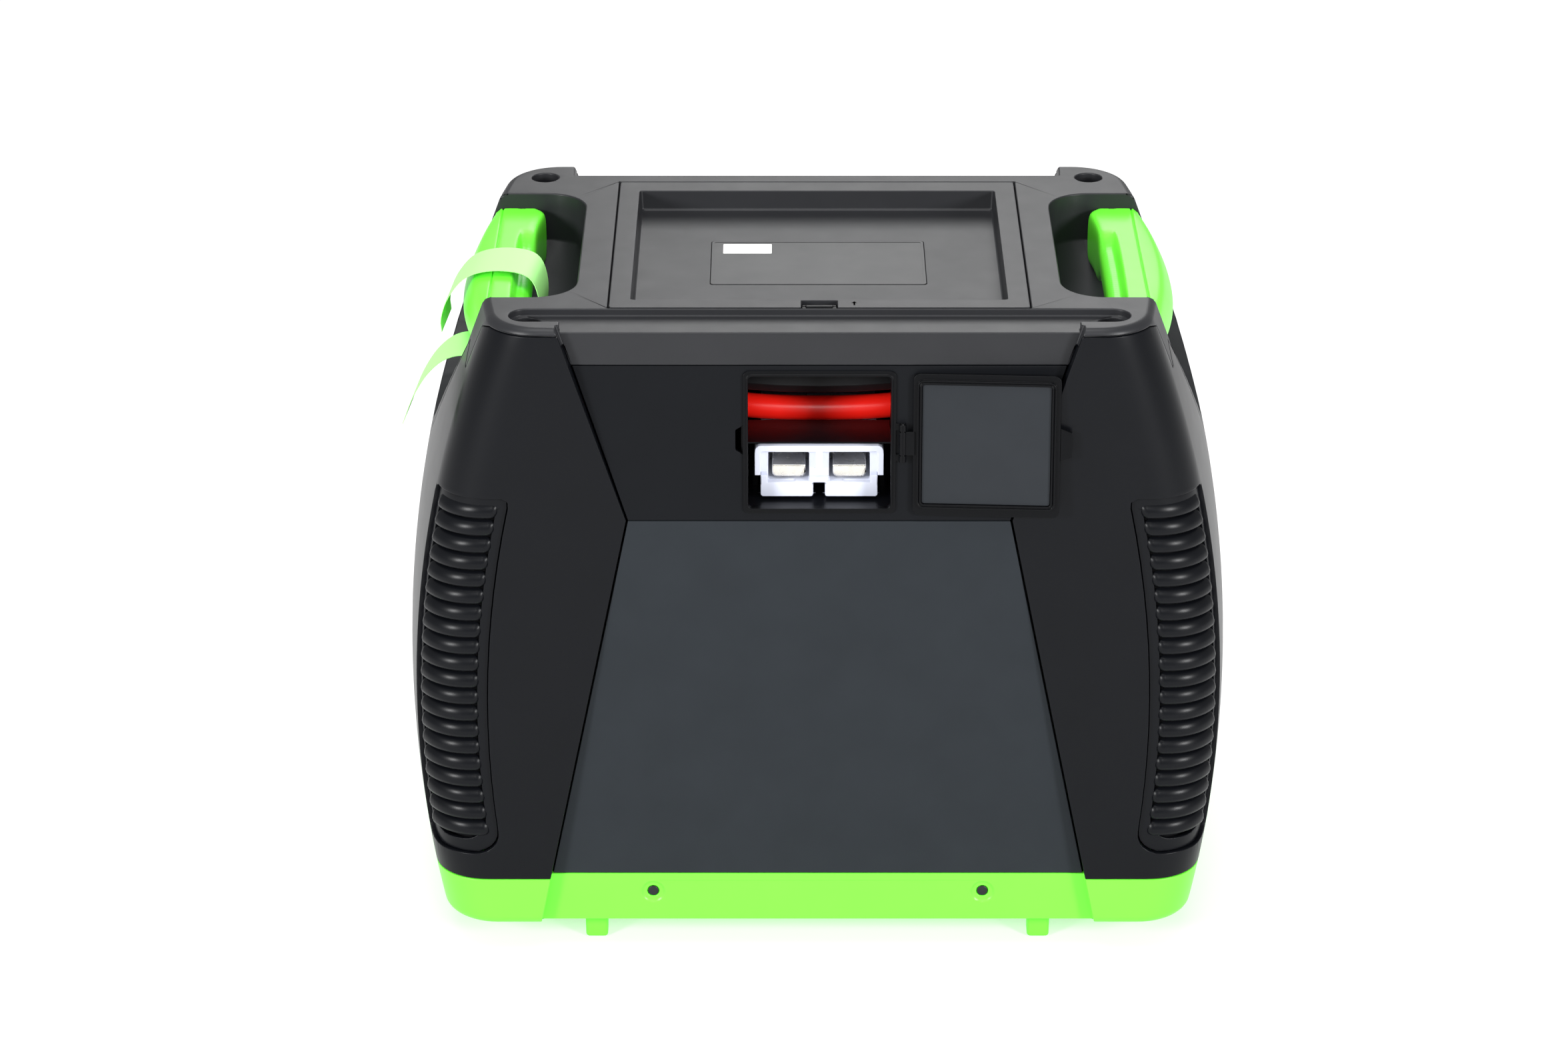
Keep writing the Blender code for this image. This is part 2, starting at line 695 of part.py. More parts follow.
def cut_cover_top(cover):
    """Finger wells, lid seat, front groove, corner sockets, and notches for the lid's tabs."""
    for side in (-1, 1):
        cut(cover, well(side))
    above = 0.410
    steps = ((GAP + 0.0001, GAP + 0.0001, LEDGE_Z[1]), (-LEDGE_WIDTH, -LEDGE_FRONT_WIDTH, 0.380))
    for margin, front_margin, floor in steps:
        low = (-LID_HALF_X - margin, LID_FRONT_Y - front_margin, floor)
        cut(cover, block(low, (LID_HALF_X + margin, LID_REAR_Y + margin, above)))
    groove_y = -SOCKET_XY[1]
    groove_back = groove_y + GROOVE_RADIUS
    cut(cover, block((-GROOVE_HALF_X, -0.150, GROOVE_Z), (GROOVE_HALF_X, groove_back, above)))
    for side in (-1, 1):
        x = side * SOCKET_XY[0]
        cut(cover, rod((x, groove_y, GROOVE_Z), (x, groove_y, above), GROOVE_RADIUS, None, 24))
        near, far = sorted((side * 0.140, x))
        cut(cover, block((near, groove_y - GROOVE_RADIUS, GROOVE_Z), (far, groove_back, above)))
        for end in (-1, 1):
            y = end * SOCKET_XY[1]
            cut(cover, rod((x, y, SOCKET_FLOOR_Z), (x, y, above), SOCKET_RADIUS))
        left, right = side * TAB_X - 0.013, side * TAB_X + 0.013
        cut(cover, block((left, 0.100, 0.380), (right, LID_REAR_Y + 0.0005, above)))
        cut(cover, block((left, 0.100, 0.380), (right, 0.1155, 0.3990)))


def build_lid():
    """Flat lid with a tray, a pocket for the label, two hinge tabs and a slot for the latch."""
    top, above = TOP_Z, 0.410
    skin = block((-LID_HALF_X, LID_FRONT_Y, top - LID_SKIN), (LID_HALF_X, LID_REAR_Y, top))
    lid = part("lid", skin, "cover_grey", None, LID_AXIS)
    wall = 0.0025
    floor = top - TRAY_DEPTH
    tray_low = (-TRAY_HALF_X - wall, TRAY_Y[0] - wall, floor - wall)
    fuse(lid, block(tray_low, (TRAY_HALF_X + wall, TRAY_Y[1] + wall, top - 0.001)))
    cut(lid, block((-TRAY_HALF_X, TRAY_Y[0], floor), (TRAY_HALF_X, TRAY_Y[1], above)))
    half_x, half_y = LABEL_SIZE[0] / 2, LABEL_SIZE[1] / 2
    cut(lid, block((-half_x, LABEL_Y - half_y, floor - 0.0008), (half_x, LABEL_Y + half_y, above)))
    for side in (-1, 1):
        left, right = side * TAB_X - 0.011, side * TAB_X + 0.011
        fuse(lid, block((left, 0.1010, 0.3965), (right, 0.1046, top - 0.001)))
        fuse(lid, block((left, 0.1015, 0.3965), (right, 0.1120, 0.3986)))
    slot_back = LATCH_Y[1] + LATCH_TRAVEL + 0.0002
    cut(lid, block((-0.0105, LID_FRONT_Y - 0.002, top - 0.012), (0.0105, slot_back, above)))
    return lid


def build_latch():
    """Sliding latch in the lid's front rim, with a tongue that points to the cover's narrow front ledge."""
    front, back = LATCH_Y
    stem = back - 0.0019
    body = block((-0.0098, stem, 0.3926), (0.0098, back, 0.4006))
    latch = part("lid_latch", body, "rubber", None, Vector((0, back, 0.3965)))
    fuse(latch, block((-0.0098, front, 0.3995), (0.0098, back - 0.0004, 0.4003)))
    fuse(latch, block((-0.0077, front + 0.0020, 0.4000), (0.0077, front + 0.0042, 0.4012)))
    fuse(latch, block((-0.0070, front + 0.0015, 0.3930), (0.0070, stem + 0.0010, 0.3957)))
    return latch


def build_label():
    half_x, half_y = LABEL_SIZE[0] / 2 - GAP, LABEL_SIZE[1] / 2 - GAP
    floor = TOP_Z - TRAY_DEPTH
    plate = block((-half_x, LABEL_Y - half_y, floor - 0.0005), (half_x, LABEL_Y + half_y, floor + 0.0003))
    return part("label_plate", plate, "label")


def handle_ring(y, side):
    """Section of a carry handle at y, in X and Z."""
    t = min(1, abs(y) / WELL_HALF_LENGTH)
    waist = max(0.0, 1 - t**4)
    inner = HANDLE_INNER_X[0] + (HANDLE_INNER_X[1] - HANDLE_INNER_X[0]) * waist
    top_outer = HANDLE_TOP_X[0] + (HANDLE_TOP_X[1] - HANDLE_TOP_X[0]) * (1 - t * t)
    outer = HANDLE_OUTER_X[0] + (HANDLE_OUTER_X[1] - HANDLE_OUTER_X[0]) * (1 - t * t)
    tip = WELL_TIP_Z - WELL_TIP_SLOPE * (HANDLE_INNER_X[0] - WELL_INNER_X)
    well_floor = tip + (WELL_SHOULDER_Z - tip) * t**LOBE_POWER
    low, high = max(HANDLE_Z[0], well_floor + 0.0008), HANDLE_Z[1]
    section = (
        (inner + 0.006, low + 0.002),
        (inner, low + 0.008),
        (inner, high - 0.005),
        (inner + 0.005, high),
        (0.1905, high),
        (0.1915, high - 0.001),
        (0.1925, high - 0.0002),
        (top_outer - 0.001, high - 0.003),
        ((top_outer + outer) / 2 + 0.001, high - 0.010),
        (outer, low + 0.004),
        (outer - 0.005, low),
    )
    return [(side * x, y, z) for x, z in section]


def build_handles():
    for side, name in ((-1, "left_handle"), (1, "right_handle")):
        reach = WELL_HALF_LENGTH - GAP - 0.0001
        rings = [handle_ring(reach * i / 6, side) for i in range(-6, 7)]
        smooth(part(name, loft(rings), "green"))


# ---------------------------------------------------------------- port, flap and connector


def build_port():
    low, high = PORT_HEIGHT
    rim = 0.0030
    outer = block((-PORT_HALF - rim, -0.0012, low - rim), (PORT_HALF + rim, -GAP, high + rim))
    bezel = part("port_bezel", outer, "rubber", PORT_FRAME)
    lip = 0.001 - GAP
    sleeve = block((-PORT_HALF - lip, -0.0010, low - lip), (PORT_HALF + lip, 0.0040, high + lip))
    fuse(bezel, sleeve, parent=PORT_FRAME)
    cut(bezel, block((-PORT_HALF, -0.010, low), (PORT_HALF, 0.010, high)), parent=PORT_FRAME)
    x, y = FLAP_AXIS.x, FLAP_AXIS.y
    bottom, top = HINGE_HEIGHT
    for start, stop in ((bottom - 0.0043, bottom - GAP), (top + GAP, top + 0.0043)):
        fuse(bezel, block((PORT_HALF + 0.0005, -0.0012, start), (x + 0.0022, -GAP, stop)), parent=PORT_FRAME)
        fuse(bezel, block((x - 0.0014, y, start), (x + 0.0014, -0.0008, stop)), parent=PORT_FRAME)
        fuse(bezel, rod((x, y, start), (x, y, stop), 0.0021, None, 12), parent=PORT_FRAME)
    cut(bezel, rod((x, y, bottom - 0.006), (x, y, top + 0.006), 0.0013, None, 12), parent=PORT_FRAME)
    pin = rod((x, y, bottom - 0.0040), (x, y, top + 0.0040), 0.0010, None, 10)
    part("port_hinge_pin", pin, "steel", PORT_FRAME)


def build_flap():
    """Rubber port cover, folded back so that it leans on the corner pillar."""
    bottom, top = HINGE_HEIGHT
    near, far = FLAP_REACH
    low, high = FLAP_HEIGHT
    flap = part("port_flap", block((near, 0, low), (far, FLAP_SKIN, high)), "rubber", FLAP_FRAME)
    inset, width = 0.0070, 0.0030
    left, right = near + inset, far - inset
    foot, head = low + inset, high - inset
    bars = (
        ((left, foot), (right, foot + width)),
        ((left, head - width), (right, head)),
        ((left, foot + 0.001), (left + width, head - 0.001)),
        ((right - width, foot + 0.001), (right, head - 0.001)),
    )
    for (x0, z0), (x1, z1) in bars:
        fuse(flap, block((x0, -0.0018, z0), (x1, 0.001, z1)), parent=FLAP_FRAME)
    fuse(flap, block((0.001, -0.0008, bottom), (near + 0.001, 0.0015, top)), parent=FLAP_FRAME)
    fuse(flap, rod((0, 0, bottom), (0, 0, top), 0.0021, None, 12), parent=FLAP_FRAME)
    cut(flap, rod((0, 0, bottom - 0.001), (0, 0, top + 0.001), 0.0013, None, 12), parent=FLAP_FRAME)
    tab = [(far - 0.001, 0.0385), (far + 0.0066, 0.0415), (far + 0.0066, 0.0560), (far - 0.001, 0.0590)]
    fuse(flap, slab(tab, 0.0001, FLAP_SKIN - 0.0002, "XZ"), parent=FLAP_FRAME)


def build_cradle():
    """Collar behind the port opening, with a shelf under the docked connector and a cover plate over it."""
    front, back = -0.1400, -0.1030
    bottom = CONNECTOR_Z[0]
    collar = block((-0.0448, front, bottom - 0.0045), (0.0448, back, 0.3755))
    cradle = part("port_cradle", collar, "case_black")
    cut(cradle, block((-0.0412, front - 0.002, bottom - 0.0020), (0.0412, back + 0.002, 0.3725)))
    cut(cradle, block((-0.060, -0.050, -0.020), (0.060, 0.0043, 0.120)), parent=PORT_FRAME)
    fuse(cradle, block((-0.0400, back - 0.001, bottom - 0.0045), (0.0400, -0.0200, bottom - 0.0016)))
    plate_low = CONNECTOR_Z[1] + 0.0004
    fuse(cradle, block((-0.0414, -0.1225, plate_low), (0.0414, -0.0886, plate_low + 0.0009)))
    for side in (-1, 1):
        near, far = sorted((side * 0.0200, side * 0.0260))
        fuse(cradle, block((near, -0.1200, bottom - 0.0030), (far, -0.0210, bottom - GAP)))
        near, far = sorted((side * (CONNECTOR_HALF_X + 0.0005), side * 0.0385))
        fuse(cradle, block((near, back - 0.001, bottom - 0.0030), (far, -0.0210, bottom + 0.0100)))
    return cradle


def build_connector():
    """Two-pole connector housing with a flat contact in each cell."""
    low, high = CONNECTOR_Z
    front, back = CONNECTOR_Y
    body = block((-CONNECTOR_HALF_X, front, low), (CONNECTOR_HALF_X, back, high - 0.0036))
    housing = part("connector_housing", body, "connector_grey")
    fuse(housing, block((-0.0370, front - 0.0010, high - 0.0046), (0.0370, front + 0.030, high)))
    for side in (-1, 1):
        near, far = sorted((side * 0.0334, side * 0.0370))
        fuse(housing, block((near, front - 0.0010, high - 0.0150), (far, front + 0.030, high - 0.001)))
    cut(housing, block((-0.00335, front - 0.002, low - 0.001), (0.00335, front + 0.034, high - 0.0125)))
    z = CONTACT_Z
    for side in (-1, 1):
        x = side * CONTACT_X
        cut(housing, block((x - 0.0124, front - 0.002, z - 0.0077), (x + 0.0124, front + 0.036, z + 0.0083)))
        cut(housing, block((x - 0.0104, front, z - 0.0040), (x + 0.0104, back - 0.030, z + 0.0040)))
        cut(housing, rod((x, back - 0.034, z), (x, back + 0.002, z), 0.0106))
    tip, heel = front + 0.0045, back - 0.024
    half, nose, slant = 0.00985, 0.0075, 0.003
    right = [(nose, tip), (half, tip + slant), (half, heel)]
    blade = right + [(-x, y) for x, y in right[::-1]]
    for side, name in ((1, "positive_contact"), (-1, "negative_contact")):
        x = side * CONTACT_X
        contact = part(name, slab([(x + a, b) for a, b in blade], z - 0.0025, z + 0.0025), "silver")
        fuse(contact, rod((x, heel - 0.0035, z), (x, back - 0.004, z), 0.0098))
        cut(contact, rod((x, heel + 0.001, z), (x, back, z), LEAD_RADIUS + GAP))


POSITIVE_ROUTE = (
    (0.0175, -0.0380, 0.3091),
    (0.0175, -0.0080, 0.3091),
    (0.0230, 0.0250, 0.3100),
    (0.0500, 0.0600, 0.3130),
    (0.0900, 0.0560, 0.3200),
    (0.1160, 0.0150, 0.3290),
    (0.1140, -0.0300, 0.3330),
    (0.0860, -0.0640, 0.3330),
    (0.0440, -0.0780, 0.3310),
    (0.0000, -0.0805, 0.3300),
    (-0.0440, -0.0780, 0.3310),
    (-0.0860, -0.0640, 0.3330),
    (-0.1140, -0.0300, 0.3325),
    (-0.1240, 0.0080, 0.3290),
    (-0.1270, 0.0400, 0.3140),
    (-0.1300, 0.0580, 0.2920),
    (-0.1330, 0.0450, 0.2740),
    (-0.1350, 0.0100, 0.2670),
    (-0.1350, -0.0250, 0.2660),
)
NEGATIVE_ROUTE = (
    (-0.0175, -0.0380, 0.3091),
    (-0.0175, -0.0080, 0.3091),
    (-0.0220, 0.0220, 0.3110),
    (-0.0480, 0.0600, 0.3240),
    (-0.0900, 0.0560, 0.3400),
    (-0.1170, 0.0150, 0.3500),
    (-0.1140, -0.0300, 0.3510),
    (-0.0860, -0.0640, 0.3500),
    (-0.0440, -0.0780, 0.3480),
    (0.0000, -0.0805, 0.3470),
    (0.0440, -0.0780, 0.3480),
    (0.0860, -0.0640, 0.3500),
    (0.1140, -0.0300, 0.3510),
    (0.1240, 0.0080, 0.3510),
    (0.1260, 0.0440, 0.3480),
    (0.1230, 0.0740, 0.3320),
    (0.1270, 0.0850, 0.3080),
    (0.1330, 0.0700, 0.2830),
    (0.1350, 0.0350, 0.2690),
    (0.1350, -0.0250, 0.2660),
)


def build_leads():
    for name, route, finish in (
        ("positive_lead", POSITIVE_ROUTE, "red_cable"),
        ("negative_lead", NEGATIVE_ROUTE, "black_cable"),
    ):
        points = smooth_route([Vector(p) for p in route], 0.026)
        smooth(part(name, tube(points, LEAD_RADIUS), finish))


def build_terminals():
    """Posts on the battery, with the lugs of the leads and their bolts."""
    deck = BATTERY_Z[1]
    for side, name in ((-1, "positive"), (1, "negative")):
        x, y = side * TERMINAL_XY[0], TERMINAL_XY[1]
        cone = rod((x, y, deck + GAP), (x, y, deck + 0.014), 0.0100, 0.0090, 20)
        post = part(f"{name}_terminal", cone, "lead")
        cut(post, rod((x, y, deck + 0.001), (x, y, deck + 0.020), 0.0044, None, 12))
        lug_low, barrel_z = deck + 0.0143, deck + 0.0200
        palm = block((x - 0.0105, y - 0.0120, lug_low), (x + 0.0105, -0.0420, lug_low + 0.0030))
        lug = part(f"{name}_lug", palm, "silver")
        fuse(lug, rod((x, -0.0430, barrel_z), (x, -0.0180, barrel_z), 0.0098))
        cut(lug, rod((x, -0.0350, barrel_z), (x, -0.0150, barrel_z), LEAD_RADIUS + GAP))
        cut(lug, rod((x, y, lug_low - 0.002), (x, y, lug_low + 0.006), 0.0044, None, 12))
        head = lug_low + 0.0033
        bolt = part(f"{name}_bolt", rod((x, y, head), (x, y, head + 0.0055), 0.0072, None, 6), "steel")
        fuse(bolt, rod((x, y, deck + 0.0030), (x, y, head + 0.001), 0.0039, None, 12))


# ---------------------------------------------------------------- battery and electronics


def build_battery():
    """Six-cell battery on a mat, held down by a bar on two rods."""
    low, high = BATTERY_Z
    half_x, half_y = BATTERY_HALF_X, BATTERY_HALF_Y
    floor = BASE_Z + BASE_WALL + GAP
    rim = high - 0.014
    wall = 0.004
    part("battery_mat", block((-0.160, -0.084, floor), (0.160, 0.084, low - GAP)), "foam")
    case = part("battery_case", block((-half_x, -half_y, low), (half_x, half_y, rim - GAP)), "battery_case")
    divider, clear = 0.003, 0.001
    pitch = (2 * (half_x - wall) + divider) / CELLS
    deep = half_y - wall
    for number in range(CELLS):
        left = -half_x + wall + number * pitch
        right = left + pitch - divider
        cut(case, block((left, -deep, low + wall), (right, deep, rim + 0.005)))
        plates_low = (left + clear, clear - deep, low + wall + GAP)
        plates = block(plates_low, (right - clear, deep - clear, rim - 0.030))
        part(f"cell_plates_{number + 1}", plates, "lead")
    part("battery_cover", block((-half_x, -half_y, rim), (half_x, half_y, high)), "battery_case")
    strip = block((-0.0125, -0.0985, high + GAP), (0.0125, 0.0985, high + 0.0035))
    bar = part("hold_down_bar", strip, "steel")
    for end, name in ((-1, "front"), (1, "rear")):
        y = end * 0.0925
        cut(bar, rod((0, y, high - 0.002), (0, y, high + 0.006), 0.0035, None, 12))
        shank = rod((0, y, floor), (0, y, high + 0.010), 0.0030, None, 10)
        tie = part(f"hold_down_rod_{name}", shank, "steel")
        fuse(tie, rod((0, y, high + 0.0038), (0, y, high + 0.0090), 0.0060, None, 6))


def build_electronics():
    deck = BATTERY_Z[1] + GAP
    foot = block((-0.085, 0.020, deck), (-0.045, 0.042, deck + 0.010))
    fuse_block = part("fuse_block", foot, "battery_case")
    for x in (-0.078, -0.052):
        fuse(fuse_block, rod((x, 0.031, deck + 0.009), (x, 0.031, deck + 0.017), 0.0030, None, 10))
    fuse(fuse_block, block((-0.074, 0.026, deck + 0.009), (-0.056, 0.036, deck + 0.015)))
    box = block((0.025, 0.014, deck), (0.115, 0.074, deck + 0.034))
    controller = part("charge_controller", box, "battery_case")
    for i in range(9):
        y = 0.020 + 0.006 * i
        cut(controller, block((0.020, y - 0.0012, deck + 0.026), (0.120, y + 0.0012, deck + 0.040)))


def build_gauge():
    """Charge gauge: a window in the rear panel with a circuit board behind it."""
    x, up = REAR_X["gauge"], REAR_HEIGHT
    behind = PANEL_WALL + GAP
    window = block((x - 0.0170, -0.0006, up - 0.0070), (x + 0.0170, behind + 0.001, up + 0.0070))
    lens = part("gauge_lens", window, "clear", REAR_FRAME)
    flange = block((x - 0.0200, behind, up - 0.0100), (x + 0.0200, behind + 0.0015, up + 0.0100))
    fuse(lens, flange, parent=REAR_FRAME)
    board = block((REAR_X["button"] - 0.012, 0.0130, up - 0.014), (x + 0.026, 0.0146, up + 0.014))
    part("gauge_board", board, "circuit", REAR_FRAME)


def build_outlet(name, cap_name, flange, barrel, bore, length):
    """A round outlet with ears at the top of its flange, and the rubber cap hinged between them."""
    x, up = REAR_X[name], REAR_HEIGHT
    frame = REAR_FRAME
    face, front = -GAP, -GAP - 0.0022
    outlet = part(name, rod((x, face, up), (x, front, up), flange, None, 24), "case_black", frame)
    fuse(outlet, rod((x, front + 0.001, up), (x, length, up), barrel, None, 24), parent=frame)
    cut(outlet, rod((x, front - 0.003, up), (x, length - 0.003, up), bore), parent=frame)
    axis = Vector((x, front - 0.0026, up + flange + 0.0015))
    crown = axis.z + 0.0018
    for side in (-1, 1):
        near, far = sorted((x + side * 0.0042, x + side * 0.0062))
        fuse(outlet, block((near, front, up + flange * 0.8), (far, face, crown)), parent=frame)
        fuse(outlet, block((near, axis.y - 0.0018, up + flange - 0.0006), (far, face, crown)), parent=frame)
    cut(outlet, rod((x - 0.009, axis.y, axis.z), (x + 0.009, axis.y, axis.z), 0.0013, None, 10), parent=frame)
    seat = front - GAP
    disc = rod((x, seat, up), (x, seat - 0.0028, up), flange - 0.001, None, 24)
    cap = part(cap_name, disc, "rubber", frame, axis)
    plug = rod((x, seat - 0.001, up), (x, seat + 0.0035, up), bore - 0.0012, bore - 0.0018, 20)
    strap = block((x - 0.0036, seat - 0.0026, up + flange * 0.6), (x + 0.0036, seat, axis.z + 0.0005))
    fuse(cap, plug, strap, parent=frame)
    for half, radius in ((0.0036, 0.0018), (0.0060, 0.0009)):
        barrel_start, barrel_end = (x - half, axis.y, axis.z), (x + half, axis.y, axis.z)
        fuse(cap, rod(barrel_start, barrel_end, radius, None, 10), parent=frame)


def build_button():
    x, up = REAR_X["button"], REAR_HEIGHT
    face, front = -GAP, -GAP - 0.0018
    ring = rod((x, face, up), (x, front, up), 0.0115, None, 24)
    bezel = part("button_bezel", ring, "case_black", REAR_FRAME)
    fuse(bezel, rod((x, front + 0.001, up), (x, 0.0085, up), 0.0085, None, 24), parent=REAR_FRAME)
    cut(bezel, rod((x, front - 0.003, up), (x, 0.012, up), 0.0073), parent=REAR_FRAME)
    stem = rod((x, front - 0.0014, up), (x, 0.0070, up), 0.0070)
    part("power_button", stem, "green", REAR_FRAME, Vector((x, front, up)))


def build_tag():
    """Paper care tag looped round the left handle; its tail hangs outside the case."""
    route = (
        (-0.2395, -0.0785, 0.3270),
        (-0.2330, -0.0715, 0.3420),
        (-0.2235, -0.0645, 0.3545),
        (-0.2110, -0.0590, 0.3610),
        (-0.1900, -0.0550, 0.3605),
        (-0.1690, -0.0495, 0.3610),
        (-0.1625, -0.0410, 0.3690),
        (-0.1615, -0.0300, 0.3840),
        (-0.1680, -0.0205, 0.3955),
        (-0.1860, -0.0145, 0.3975),
        (-0.2040, -0.0165, 0.3945),
        (-0.2150, -0.0220, 0.3840),
        (-0.2195, -0.0270, 0.3725),
        (-0.2190, -0.0300, 0.3650),
    )
    points = smooth_route([Vector(p) for p in route], 0.005)
    half_width_of_strip, half_thickness = 0.0155, 0.00025
    across = Vector((0.12, 1, 0.10)).normalized()
    rings = []
    for before, here, after in zip([points[0]] + points[:-1], points, points[1:] + [points[-1]]):
        along = (after - before).normalized()
        a, n = across * half_width_of_strip, along.cross(across).normalized() * half_thickness
        rings.append([here - a - n, here + a - n, here + a + n, here - a + n])
    smooth(part("care_tag", loft(rings), "tag_green"))


def panel_frame(name, crease_y, top_y, end):
    """Frame on the crease: Z runs up the sloping upper panel and -Y points out of it."""
    lean = math.atan2(abs(top_y) - abs(crease_y), BAND_Z - CREASE_Z)
    return new_frame(name, (0, crease_y, CREASE_Z), (lean, 0, 0 if end < 0 else math.pi), POD)


clear_scene()
PARTS = new_collection("expansion_battery_pod")
CUTTERS = new_collection("cutters")
CUTTERS.hide_render = True
MATERIALS = {name: new_material(name) for name in FINISHES}
POD = new_frame("pod", (0, POD_Y, 0))
PORT_FRAME = panel_frame("port_frame", FRONT_CREASE_Y, FRONT_TOP_Y, -1)
FLAP_FRAME = new_frame("flap_frame", FLAP_AXIS, (0, 0, -FLAP_LEAN), PORT_FRAME)
REAR_FRAME = panel_frame("rear_frame", REAR_CREASE_Y, REAR_TOP_Y, 1)
build_base()
build_screws()
build_side_shells()
build_grilles()
build_front_panels()
build_rear_panels()
build_cover()
build_lid()
build_latch()
build_label()
build_handles()
build_port()
build_flap()
build_cradle()
build_connector()
build_leads()
build_terminals()
build_battery()
build_electronics()
build_gauge()
build_outlet("dc_socket", "socket_cap", 0.0185, 0.0140, 0.0105, 0.0300)
build_outlet("solar_jack", "solar_cap", 0.0100, 0.0060, 0.0042, 0.0160)
build_button()
build_tag()
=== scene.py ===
"""Looks of the expansion battery pod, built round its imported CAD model. Metres, +Z up, port side at -Y."""

import json
import math

import bmesh
import bpy
from mathutils import Matrix, Vector


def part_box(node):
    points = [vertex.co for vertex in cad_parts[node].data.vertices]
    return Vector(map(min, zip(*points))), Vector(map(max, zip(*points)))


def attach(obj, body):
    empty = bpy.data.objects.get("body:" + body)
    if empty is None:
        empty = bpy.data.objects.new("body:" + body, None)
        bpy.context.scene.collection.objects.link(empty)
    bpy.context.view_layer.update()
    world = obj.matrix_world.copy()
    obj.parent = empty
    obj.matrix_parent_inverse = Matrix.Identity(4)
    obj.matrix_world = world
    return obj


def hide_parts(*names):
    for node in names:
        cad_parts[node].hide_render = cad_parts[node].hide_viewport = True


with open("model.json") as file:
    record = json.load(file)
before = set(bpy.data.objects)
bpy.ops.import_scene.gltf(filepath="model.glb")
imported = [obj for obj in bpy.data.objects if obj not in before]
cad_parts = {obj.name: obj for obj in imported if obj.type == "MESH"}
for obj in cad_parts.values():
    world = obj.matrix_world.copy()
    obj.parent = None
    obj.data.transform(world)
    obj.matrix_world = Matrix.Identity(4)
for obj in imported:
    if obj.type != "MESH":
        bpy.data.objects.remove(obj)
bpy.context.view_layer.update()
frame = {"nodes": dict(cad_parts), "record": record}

# ---------------------------------------------------------------- sizes

# The case's own middle plane lies a little behind the middle of the whole object.
CASE_LOW, CASE_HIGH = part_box("top_cover")
POD_Y = (CASE_LOW.y + CASE_HIGH.y) / 2
HALF_DEPTH = (CASE_HIGH.y - CASE_LOW.y) / 2
TOP_Z = CASE_HIGH.z
BASE_Z = 0.020
SHELL_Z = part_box("base_tray")[1].z + 0.0003
GAP = 0.0003

# Outline of the case, as in the CAD model.
WAIST_HALF_WIDTH = 0.246
WAIST_Z = 0.155
SIDE_BULGE = 0.79
CORNER_RADIUS = 0.032
SIDE_TURN = math.radians(9)
TOP_ROUNDING = 0.004
WALL = 0.003
SHELL_WALL = 0.0035
CREASE_Z = 0.284
RECESS = ((0.020, 0.1654), (0.284, 0.111), (0.410, 0.1526))
RECESS_DRAFT = 0.0008
RECESS_WALL_Y = 0.114
BAND_Z = 0.3775
FRONT_TOP_Y, FRONT_CREASE_Y, FRONT_FOOT_Y = -0.133, -0.1396, -0.132
REAR_TOP_Y, REAR_FOOT_Y = 0.121, 0.132

# Planes that clear the whole case, for cutters.
BEYOND_X = 0.270
BEYOND_Y = 0.150
ABOVE_Z = 0.410

# Seam and finger wells.
SEAM_PILLAR_Z = 0.390
SEAM_CORNER_Z = 0.366
SEAM_PEAK = (0.093, 0.378)
SEAM_TIP_Z = 0.284
COLLAR = ((0.150, 0.3977), (0.122, 0.3970), (0.1115, 0.3935), (0.1065, 0.3655), (0.150, 0.3655))
WELL_HALF_LENGTH = 0.088
WELL_INNER_X = 0.140
WELL_CORNER = 0.025
WELL_SHOULDER_Z = 0.372
WELL_TIP_Z = 0.318
WELL_TIP_SLOPE = 0.28
LOBE_POWER = 1.7

# Lid with its tabs and tray, and the ledge that it lies on.
LID_HALF_X = 0.1205
LID_Y = (-0.105, 0.1085)
LID_SKIN = 0.0026
TAB_X = 0.080
TAB_HALF = 0.011
LEDGE_Z = (0.3962, 0.3991)
TRAY_HALF_X = 0.1075
TRAY_Y = (-0.0915, 0.092)
TRAY_FLOOR_Z = TOP_Z - 0.0125
TRAY_WALL = 0.0025
LABEL_HALF = (0.0635, 0.0365)
LABEL_Y = 0.001
LATCH_SLOT_HALF_X = 0.0105
LATCH_SLOT_BACK_Y = -0.0938

# Groove, corner sockets, pegs and base screws.
SOCKET_XY = (0.167, 0.117)
SOCKET_RADIUS = 0.00825
SOCKET_FLOOR_Z = 0.376
GROOVE_Z = 0.3975
GROOVE_RADIUS = 0.0098
GROOVE_HALF_X = 0.1476
PEG_XY = (0.133, 0.111)
SCREW_XZ = (0.0983, 0.0385)

# Carry handles: height of the grip, and the X at which its inner face starts.
HANDLE_Z = (0.3665, 0.3925)
HANDLE_INNER_X = 0.163

# Vent grilles, measured along the corner from a start on the flat pillar face.
VENT_FLAT = 0.012
VENT_LENGTH = VENT_FLAT + CORNER_RADIUS * (math.pi / 2 - SIDE_TURN)
VENT_Z = (0.068, 0.2975)
LOUVRES = 20
LOUVRE_Z = 0.084
LOUVRE_PITCH = 0.0108

SIDES = ((-1, "left"), (1, "right"))
ENDS = ((-1, "front"), (1, "rear"))


# ---------------------------------------------------------------- materials


def nodes_of(name, colour, roughness, metallic=0.0, shine=0.5):
    """A new material with its node tree and its shader."""
    made = bpy.data.materials.new(name)
    made.use_nodes = True
    tree = made.node_tree
    shader = tree.nodes["Principled BSDF"]
    shader.inputs["Base Color"].default_value = (*colour, 1)
    shader.inputs["Roughness"].default_value = roughness
    shader.inputs["Metallic"].default_value = metallic
    shader.inputs["Specular IOR Level"].default_value = shine
    return made, tree, shader


